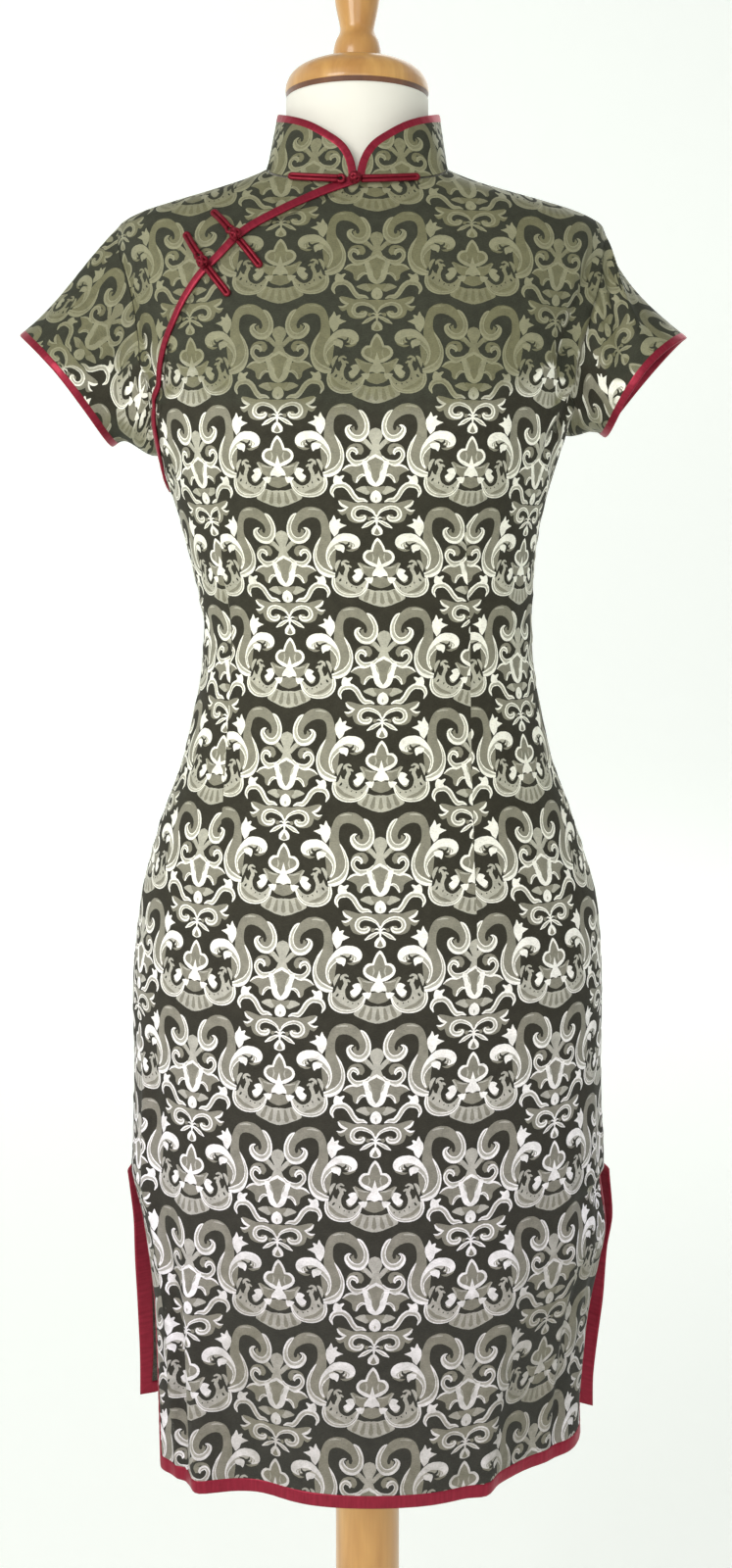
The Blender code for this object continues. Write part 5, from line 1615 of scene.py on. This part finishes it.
def add_placket_binding():
    """The binding along the opening, a little wider towards the neck."""
    path = opening_path(0, 110)
    points, normals = body_frame(FRONT, path[:, 0], path[:, 1])
    lift = PLACKET_LIFT + SATIN / 2 - 0.0004
    up = (path[:, 1] - path[:, 1].min()) / np.ptp(path[:, 1])
    wide = PLACKET_BAND * (0.86 + 0.42 * ease(up * 1.5 - 0.5))
    return add_band("placket_trim", points, normals, wide, near=-0.001, lift=lift, side=-1)


# ---- collar ----

COLLAR_COLUMNS, COLLAR_ROWS = 90, 16
COLLAR_FLAT = 1.34  # height at which the collar's flat cloth begins
COLLAR_TRIM = 0.0011  # what its binding is wider by than COLLAR_BAND, mostly where it lies over the cloth


def neck_place(angles):
    """Places on the neckline at angles from the front, and the surface's normals there."""
    dense = np.linspace(-1, 1, 401)
    found = []
    for side in (FRONT, BACK):
        line = body_point(side, dense, neckline(side, dense))
        turn = np.arctan2(line[:, 0] - NECK_CENTRE, side * line[:, 1])
        s = np.interp(np.arcsin(np.sin(angles)), turn, dense)
        found.append(body_frame(side, s, neckline(side, s)))
    ahead = (np.cos(angles) > 0)[:, None]
    return [np.where(ahead, front, back) for front, back in zip(*found)]


def collar_face(angles, heights, rows):
    """The collar's outer points from the neckline up to heights, [up, around], and their normals."""
    foot, _ = neck_place(angles)
    foot[:, 2] += COLLAR_SEAM
    ring = COLLAR_RING
    x = ring.centre + ring.half_width * np.sin(angles)
    depth = np.where(np.cos(angles) > 0, ring.front, ring.back)
    top = np.column_stack([x, -depth * np.cos(angles), np.full(len(angles), ring.height)])
    reach = (heights - foot[:, 2]) / (ring.height - foot[:, 2])
    grid = np.array([foot + (top - foot) * (reach * v)[:, None] for v in np.linspace(0, 1, rows)])
    along = np.gradient(grid, axis=1)
    return grid, unit(np.cross(along, np.broadcast_to(top - foot, grid.shape)))


def collar_edge(angles):
    """Heights of the brocade's upper edge."""
    degrees = np.degrees(np.minimum(angles, 2 * math.pi - angles))
    return smooth([e.degrees for e in COLLAR_EDGE], [e.height for e in COLLAR_EDGE], degrees)


def add_collar():
    """The stand collar with its wrong side and its binding."""
    inset = math.radians(COLLAR_INSET)
    half = inset + (math.pi - inset) * np.linspace(0, 1, COLLAR_COLUMNS) ** 1.5
    angles = np.concatenate([half, 2 * math.pi - half[-2::-1]])
    grid, normals = collar_face(angles, collar_edge(angles), COLLAR_ROWS)
    # Laid out from the nape, so that the pattern runs on round the neck.
    across = lengths(grid[:1], 1)[0]
    middle = across[len(across) // 2]
    up = lengths(grid, 0)
    flat = [np.broadcast_to(across - middle, up.shape), up + grid[:1, :, 2] - COLLAR_FLAT]
    flat = np.stack(flat, axis=-1)
    place = grid_place(grid, normals, flat)
    made, area, span = cloth_mesh("collar_cloth", grid_ring(flat), [], place, COLLAR_START)
    inner = grid - normals * LINING_IN
    faces = [face[::-1] for face in grid_faces(*grid.shape[:2])]
    lining = add_object("collar_lining", inner.reshape(-1, 3), faces, LINING)
    lay_map(lining, flat.reshape(-1, 2))
    path = np.vstack([grid[:-1, 0], grid[-1], grid[:-1, -1][::-1]])
    out = np.vstack([normals[:-1, 0], normals[-1], normals[:-1, -1][::-1]])
    band = add_band("collar_trim", path, out, COLLAR_BAND + COLLAR_TRIM, side=-1)
    finish_piece(made, "collar")
    finish_piece(lining, None)
    finish_piece(band, "collar_binding")


# ---- frogs ----

CORD_AROUND = 10
HAIRPIN_APART, HAIRPIN_RADIUS = 0.0029, 0.00145  # the two runs of a doubled cord
KNOT_RADIUS = 0.00125  # of the cord in a knot
KNOT_IN = 0.0009  # how far inside the knot's height its cord's line runs
EYE_AT, EYE_RADIUS = 0.0022, 0.0024  # the eye round a knot's neck: how far on, and how wide
CORE = np.array([-1, -0.5, 0, 0.5, 1])  # stations of the knot's core


def tube(path, radius, normal=None, closed=False):
    """Points and faces of a round cord along a path."""
    steps = np.roll(path, -1, axis=0) - np.roll(path, 1, axis=0) if closed else np.gradient(path, axis=0)
    along = unit(steps)
    first = np.array([0.3, 0.2, 1.0]) if normal is None else np.asarray(normal, float)
    side = unit(np.cross(along[0], first))
    turn = np.arange(CORD_AROUND) * 2 * math.pi / CORD_AROUND
    points = []
    for place, way in zip(path, along):
        side = unit(side - way * np.dot(side, way))
        up = np.cross(side, way)
        points.append(place + radius * (np.outer(np.cos(turn), side) + np.outer(np.sin(turn), up)))
    points = np.vstack(points)
    faces = wall_faces(len(path), CORD_AROUND, closed)
    run = lengths(path[:, None], 0)[:, 0]
    places = np.column_stack([np.repeat(run, CORD_AROUND), np.tile(turn * radius, len(path))])
    return points, faces, places


def join_tubes(name, tubes):
    """One object of several cords."""
    points, faces, places, count = [], [], [], 0
    for some, shells, where in tubes:
        points.append(some)
        places.append(where)
        faces += [tuple(i + count for i in face) for face in shells]
        count += len(some)
    made = turn_out(add_object(name, np.vstack(points), faces, CORD_FINISH))
    lay_map(made, np.vstack(places))
    return made


def hairpin(path, out, apart):
    """A doubled cord's line: up one side of a path, round its first end and back down the other."""
    across = unit(np.cross(np.gradient(path, axis=0), out)) * apart / 2
    back = unit(path[0] - path[1])
    turn = np.linspace(0, math.pi, 7)[1:-1]
    side = unit(across[0])
    bend = [path[0] + side * apart / 2 * math.cos(a) + back * apart / 2 * math.sin(a) for a in turn]
    return np.vstack([(path + across)[::-1], bend, path - across])


def knot_line(middle, across, along, out, size):
    """A ball button's line: one cord that laces over and under itself round a ball."""
    turn = np.linspace(0, 2 * math.pi, 97)[:-1]
    swing = 1.05 * np.cos(4 * turn)
    around = 3 * turn
    weave = 1 + 0.10 * np.sin(12 * turn)
    x = np.cos(swing) * np.cos(around) * weave
    y = np.cos(swing) * np.sin(around) * weave
    z = np.sin(swing) * weave * 0.95
    return middle + size * (np.outer(x, across) + np.outer(y, out) + np.outer(z, along))


def add_frog_half(name, ends, normals, lifts):
    """A doubled cord along a path through ends, with a knot or an eye at its last end."""
    share = np.linspace(0, 1, 22)
    path = smooth_path(ends, len(share) - 1)
    out = unit(normals[0] * (1 - share[:, None]) + normals[1] * share[:, None])
    rise = lifts[0] + (lifts[1] - lifts[0]) * ease(share * 1.5)
    radius = CORD_THICK / 2
    path = path + out * (rise + radius)[:, None]
    tubes = [tube(hairpin(path, out, HAIRPIN_APART), HAIRPIN_RADIUS, out[0])]
    along = unit(path[-1] - path[-2])
    across = unit(np.cross(along, out[-1]))
    if name.endswith("_knot"):
        middle = path[-1] + along * KNOT_LONG * 0.45 + out[-1] * (KNOT_TALL - CORD_THICK) / 2
        size = KNOT_TALL / 2 - KNOT_IN
        tubes.append(tube(knot_line(middle, across, along, out[-1], size), KNOT_RADIUS, closed=True))
        core = np.array([middle + along * size * 0.8 * station for station in CORE])
        ball, faces, places = tube(core, 1.0)
        fat = np.repeat(np.sqrt(np.clip(1 - CORE**2, 0.05, 1)), CORD_AROUND)
        centre = np.repeat(core, CORD_AROUND, axis=0)
        tubes.append((centre + (ball - centre) * (fat * size * 0.85)[:, None], faces, places))
    else:
        # The eye that goes round the knot's neck.
        turn = np.linspace(-0.35 * math.pi, 1.35 * math.pi, 15)
        centre = path[-1] + along * EYE_AT
        eye = centre + EYE_RADIUS * (np.outer(np.cos(turn), across) - np.outer(np.sin(turn), -along))
        tubes.append(tube(eye, radius, out[-1]))
    finish_piece(join_tubes(name + "_cord", tubes), name)


def front_places(places):
    """Points and normals of places on the front."""
    s, t = on_front(np.array([place.x for place in places]), np.array([place.z for place in places]))
    return body_frame(FRONT, s, t)


def between(a, b, share):
    return Place(a.x + (b.x - a.x) * share, a.z + (b.z - a.z) * share)


def add_frogs():
    """Both halves of the two frogs on the opening and of the one on the collar."""
    low, high = 0.0002, PLACKET_LIFT + SATIN + 0.0004
    for name, frog in FROGS.items():
        for half, end, room in (("_knot", frog.front_end, 0.62), ("_loop", frog.shoulder_end, 0.66)):
            stop = 1 - room * KNOT_LONG / math.dist(frog.knot, end)
            points, normals = front_places([between(end, frog.knot, u) for u in (0, 0.45, stop)])
            add_frog_half(name + half, points, normals[[0, 2]], (low, high))
    for half, end, stop in (("_knot", COLLAR_FROG[0], 2.5), ("_loop", COLLAR_FROG[1], -10.0)):
        angles = np.radians([end, (end + stop) / 2, stop])
        foot, slope = neck_place(angles)
        foot[:, 2] += COLLAR_SEAM / 2
        upright = np.column_stack([np.sin(angles), -np.cos(angles), np.zeros(3)])
        out = unit(upright + slope)
        add_frog_half("frog_1" + half, foot, out[[0, 2]], COLLAR_FROG_LIFTS)


# ---- dress form ----

TURNED_AROUND = 96
FORM_COLUMNS, FORM_ROWS = 128, 110  # across the front or the back, and up the body
FORM_NECK = 1.36  # where the body's sections end
FORM_HEIGHTS = (0.97, 1.3225)  # sections besides the dress's own


def turned(name, profile, finish, middle):
    """A smooth turned solid through a profile, closed at both ends."""
    profile = np.array(profile)
    fine = np.vstack([profile[:1], smooth_path(profile, 10 * len(profile))[1:-1], profile[-1:]])
    turn = np.arange(TURNED_AROUND) * 2 * math.pi / TURNED_AROUND
    points = np.array([[(middle + r * math.cos(a), r * math.sin(a), z) for a in turn] for r, z in fine])
    made = turn_out(add_object(name, points.reshape(-1, 3), wall_faces(len(fine), TURNED_AROUND), finish))
    made.data.set_sharp_from_angle(angle=math.radians(50))
    return made


def form_sections():
    """The jersey form's sections, from its foot to the top of its neck."""
    across = np.linspace(-1, 1, FORM_COLUMNS + 1)
    heights = [ring.height for ring in RINGS if FORM_BOTTOM < ring.height < FORM_NECK]
    heights = sorted([FORM_BOTTOM, *FORM_HEIGHTS] + heights)
    fine = np.interp(np.linspace(0, len(heights) - 1, FORM_ROWS), np.arange(len(heights)), heights)
    sections = []
    for height in fine:
        t = run_at(height)
        clear = np.interp(height, [row.height for row in FORM_CLEAR], [row.gap for row in FORM_CLEAR])
        beside = ease((np.abs(across) - 0.6) / 0.4) * ease((height - PIT[LEFT]) / 0.01)
        beside = beside * ease((SHOULDER_TIP - height) / 0.01)
        clear = (clear + ARM_CLEAR * beside)[:, None]
        ahead, out = body_frame(FRONT, across, t)
        behind, out_behind = body_frame(BACK, across[::-1], t)
        ahead, behind = ahead - out * (CLOTH + clear), behind - out_behind * (CLOTH + clear)
        sections.append(np.vstack([ahead[:-1], behind[:-1]]))
    turn = np.concatenate([across[:-1], 2 + across[:-1]]) * math.pi / 2
    neck = smooth_path(np.array(NECK), 24)
    for radius, height in neck:
        row = [NECK_CENTRE + radius * np.sin(turn), -radius * np.cos(turn), np.full(len(turn), height)]
        sections.append(np.column_stack(row))
    sections[0][:, 2] = FORM_BOTTOM
    return np.array(sections)


def add_form():
    sections = form_sections()
    faces = wall_faces(*sections.shape[:2])
    made = turn_out(add_object("form_jersey", sections.reshape(-1, 3), faces, JERSEY))
    finish_piece(made, "form")
    for name, profile, middle in (
        ("neck_cap", CAP, NECK_CENTRE),
        ("finial", FINIAL, NECK_CENTRE),
        ("base", BASE, 0.0),
        ("post", POST + [Turn(POST_RADIUS, FORM_BOTTOM - GAP)], 0.0),
    ):
        finish = BOARD if name == "base" else WOOD
        piece = turned(name + "_wood", profile, finish, middle)
        # The cap's underside, below its rim, takes a much darker copy of the wood: painted shade.
        if name == "neck_cap":
            piece.data.materials.append(CAP_UNDERSIDE_SHADE)
            for face in piece.data.polygons:
                face.material_index = int(face.center.z < CAP[1].height)
        finish_piece(piece, name)


# ---- finishing a piece ----


def finish_piece(made, node):
    """Puts a visible piece on the root and hides the solid that it stands for."""
    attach(made, "root")
    if node:
        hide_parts(node)


# ---- materials ----


class Nodes:
    """A short way to write a material's nodes."""

    def __init__(self, name):
        self.material = bpy.data.materials.new(name)
        self.material.use_nodes = True
        self.tree = self.material.node_tree
        self.shader = self.tree.nodes["Principled BSDF"]

    def add(self, kind, inputs=(), output=0, **settings):
        node = self.tree.nodes.new(kind)
        for key, value in settings.items():
            setattr(node, key, value)
        for key, value in dict(inputs).items():
            self.put(node.inputs[key], value)
        return node.outputs[output]

    def put(self, socket, value):
        if isinstance(value, bpy.types.NodeSocket):
            self.tree.links.new(value, socket)
        else:
            socket.default_value = value

    def math(self, operation, a, b=0.0, c=0.0, clamp=False):
        return self.add("ShaderNodeMath", {0: a, 1: b, 2: c}, operation=operation, use_clamp=clamp)

    def mix(self, share, a, b, blend="MIX"):
        node = self.tree.nodes.new("ShaderNodeMix")
        node.data_type = "RGBA"
        node.blend_type = blend
        for socket, value in ((node.inputs[0], share), (node.inputs[6], a), (node.inputs[7], b)):
            self.put(socket, value)
        return node.outputs[2]

    def split(self, vector):
        """The x, y and z of a vector."""
        return self.add("ShaderNodeSeparateXYZ", {0: vector}).node.outputs[:3]

    def stretched(self, where, scales):
        return self.add("ShaderNodeMapping", {0: where, 3: scales})

    def noise(self, where, scale=1.0, **settings):
        inputs = {"Vector": where, "Scale": scale, **settings}
        return self.add("ShaderNodeTexNoise", inputs)

    def set(self, **values):
        """Sets or links the shader's own inputs."""
        for key, value in values.items():
            self.put(self.shader.inputs[key.replace("_", " ")], value)

    def bump(self, height, distance, strength=1.0):
        return self.add("ShaderNodeBump", {"Height": height, "Distance": distance, "Strength": strength})


WARP = 0.00062  # spacing of the warp's threads


def colour(r, g, b):
    return (r, g, b, 1.0)


def brocade(name, unsheened_colour, painted_sheen_colour, roughness, gloss, mottle, thread):
    """One tone of the figured cloth, with a painted sheen: where the cloth's lean suits its height, upright
    at the bust and a little upturned at the hips, its floating threads are painted in its bright colour,
    elsewhere its dull."""
    n = Nodes(name)
    flat = n.add("ShaderNodeUVMap", uv_map="cloth")
    across, up, _ = n.split(flat)
    warp = n.math("SINE", n.math("MULTIPLY", across, 2 * math.pi / WARP))
    weft = n.math("SINE", n.math("MULTIPLY", up, 2 * math.pi / thread))
    slub = n.noise(flat, 900.0, Detail=3.0, Roughness=0.65)
    cloud = n.noise(flat, 130.0, Detail=3.0)
    streak = n.noise(n.stretched(flat, (350.0, 2100.0, 1.0)), Detail=2.0)
    lean = n.split(n.add("ShaderNodeNewGeometry", output=1))[2]
    height = n.split(n.add("ShaderNodeNewGeometry", output=0))[2]
    # Painted sheen: how far the lean is from the one that shines at this height, a little clouded; facing
    # mixes in the bright colour.
    away = n.math("MULTIPLY_ADD", height, 0.7045, n.math("SUBTRACT", lean, 0.8155))
    away = n.math("MULTIPLY_ADD", n.math("MAXIMUM", n.math("SUBTRACT", height, 1.13), 0), 3.2, away)
    away = n.math("MULTIPLY_ADD", n.math("SUBTRACT", cloud, 0.5), 0.16, away)
    away = n.math("MAXIMUM", away, n.math("MULTIPLY", away, -0.42))
    facing = n.add("ShaderNodeMapRange", {0: away, 1: 0.34, 2: 0.09}, interpolation_type="SMOOTHSTEP")
    tint = n.mix(facing, colour(*unsheened_colour), colour(*painted_sheen_colour))
    low = n.add("ShaderNodeMapRange", {0: height, 1: 0.95, 2: 0.55}, interpolation_type="SMOOTHSTEP")
    greyer = n.add("ShaderNodeVectorMath", {0: tint, 1: (0.97, 0.93, 1.14)}, operation="MULTIPLY")
    tint = n.mix(low, tint, greyer)
    grain = n.math("MULTIPLY_ADD", slub, 0.6, n.math("MULTIPLY", streak, 0.6))
    shade = n.math("MULTIPLY_ADD", grain, 2 * mottle, 1.06 - 1.2 * mottle)
    shade = n.math("MULTIPLY_ADD", n.math("SUBTRACT", cloud, 0.5), 1.1 * mottle, shade)
    tint = n.add("ShaderNodeVectorMath", {0: tint, 3: shade}, operation="SCALE")
    n.set(Base_Color=tint)
    n.set(Roughness=roughness, Specular_IOR_Level=gloss)
    relief = n.math("MULTIPLY_ADD", warp, 0.25, n.math("MULTIPLY", weft, 0.35))
    relief = n.math("MULTIPLY_ADD", slub, 1.2, relief)
    n.set(Normal=n.bump(relief, 0.00005, 0.6))
    return n.material


def satin(name, base, sheen_streak_colour):
    """Red satin with fine streaks of painted sheen along its length."""
    n = Nodes(name)
    flat = n.add("ShaderNodeUVMap", uv_map="cloth")
    streak = n.noise(n.stretched(flat, (420.0, 60.0, 1.0)), Detail=3.0)
    crinkle = n.noise(n.stretched(flat, (150.0, 260.0, 1.0)), Detail=2.0)
    tint = n.mix(n.math("MULTIPLY", streak, 0.8, clamp=True), colour(*base), colour(*sheen_streak_colour))
    n.set(Base_Color=tint)
    n.set(Roughness=0.36, Metallic=0.45, Specular_IOR_Level=0.4, Specular_Tint=(1.0, 0.55, 0.60, 1))
    n.set(Normal=n.bump(crinkle, 0.00035, 0.6))
    return n.material


def jersey():
    """The form's knitted cover."""
    n = Nodes("jersey_knit")
    where = n.add("ShaderNodeTexCoord", output=3)
    knit = n.add("ShaderNodeTexWave", {"Vector": where, "Scale": 520.0, "Distortion": 1.2, "Detail": 1.0})
    cloud = n.noise(where, 30.0, Detail=4.0)
    n.set(Base_Color=n.mix(cloud, colour(0.82, 0.79, 0.71), colour(0.90, 0.87, 0.80)))
    n.set(Roughness=0.9, Sheen_Weight=0.3)
    n.set(Normal=n.bump(knit, 0.00012, 0.35))
    return n.material


def wood(name, dark, pale, along=2):
    """Varnished wood whose grain runs along an axis of the scene: 0 for X, 2 for Z."""
    n = Nodes(name)
    where = n.add("ShaderNodeTexCoord", output=3)
    streaks, pores = [26.0] * 3, [420.0] * 3
    streaks[along], pores[along] = 3.2, 26.0
    grain = n.noise(n.stretched(where, streaks), 1.6, Detail=6.0, Distortion=0.9)
    pore = n.noise(n.stretched(where, pores), Detail=2.0)
    ramp = n.tree.nodes.new("ShaderNodeValToRGB")
    n.tree.links.new(grain, ramp.inputs[0])
    ramp.color_ramp.elements[0].position = 0.30
    ramp.color_ramp.elements[0].color = colour(*dark)
    ramp.color_ramp.elements[1].position = 0.70
    ramp.color_ramp.elements[1].color = colour(*pale)
    tint = n.mix(n.math("MULTIPLY", pore, 0.28), ramp.outputs[0], colour(*[0.6 * c for c in dark]))
    n.set(Base_Color=tint)
    n.set(Roughness=0.36, Coat_Weight=0.55, Coat_Roughness=0.12)
    n.set(Normal=n.bump(pore, 0.00012, 0.3))
    return n.material


# The four tones, by their numbers in the chart, each with a dull colour and a bright painted-sheen colour.
BROCADE = [
    brocade("brocade_ground", (0.040, 0.041, 0.029), (0.036, 0.033, 0.023), 0.75, 0.15, 0.6, 0.00055),
    brocade("brocade_olive", (0.150, 0.143, 0.078), (0.232, 0.219, 0.164), 0.50, 0.30, 0.6, 0.00042),
    brocade("brocade_pale", (0.192, 0.184, 0.108), (0.440, 0.424, 0.345), 0.46, 0.35, 0.6, 0.00042),
    brocade("brocade_ivory", (0.250, 0.241, 0.150), (0.920, 0.895, 0.800), 0.44, 0.40, 0.5, 0.00042),
]
LINING = brocade("brocade_wrong_side", (0.075, 0.073, 0.052), (0.1, 0.097, 0.072), 0.8, 0.15, 1.9, 0.00055)
# Each satin's dark red, and the lighter colour of its painted sheen streaks.
SATIN_FINISH = satin("satin_red", (0.150, 0.007, 0.018), (0.400, 0.030, 0.062))
CORD_FINISH = satin("satin_cord", (0.125, 0.005, 0.013), (0.290, 0.018, 0.036))
JERSEY = jersey()
WOOD = wood("varnished_wood", (0.47, 0.215, 0.052), (0.72, 0.40, 0.120))
BOARD = wood("varnished_board", (0.47, 0.215, 0.052), (0.72, 0.40, 0.120), along=0)
# Much darker wood for the cap's underside: painted shade.
CAP_UNDERSIDE_SHADE = wood("wood_painted_shade_underside", (0.10, 0.030, 0.010), (0.20, 0.070, 0.024))


# ---- the whole ----

TILE = tile_lines()
TABLES = {side: flat_table(side) for side in (FRONT, BACK)}
FRONT_AT = np.array([0.0115, up_at(TABLES[FRONT], MOTIF_AT)])
BACK_AT = np.array([0.0, up_at(TABLES[BACK], MOTIF_AT)])
SLEEVE_START = {LEFT: np.array([0.012, 0.010]), RIGHT: np.array([0.015, 0.030])}
COLLAR_START = np.array([0.0, -0.020])

make_camera()
make_stage()

for name, side, outline, start in (
    ("front", FRONT, panel_ring(FRONT), FRONT_AT),
    ("front_underlap", FRONT, underlap_ring(), FRONT_AT),
    ("back", BACK, panel_ring(BACK), BACK_AT),
):
    made, area, span = add_panel(name, side, outline, start)
    lining = add_lining(name, side, outline, 110 if name != "front_underlap" else 40, 60)
    finish_piece(made, name)
    finish_piece(lining, None)
add_form()
for name, side in (("front_skirt", FRONT), ("back_skirt", BACK)):
    finish_piece(add_skirt_binding(name + "_trim", side), name + "_binding")
finish_piece(add_placket_binding(), "placket_binding")
for hand in (LEFT, RIGHT):
    add_sleeve(hand)
add_collar()
add_frogs()
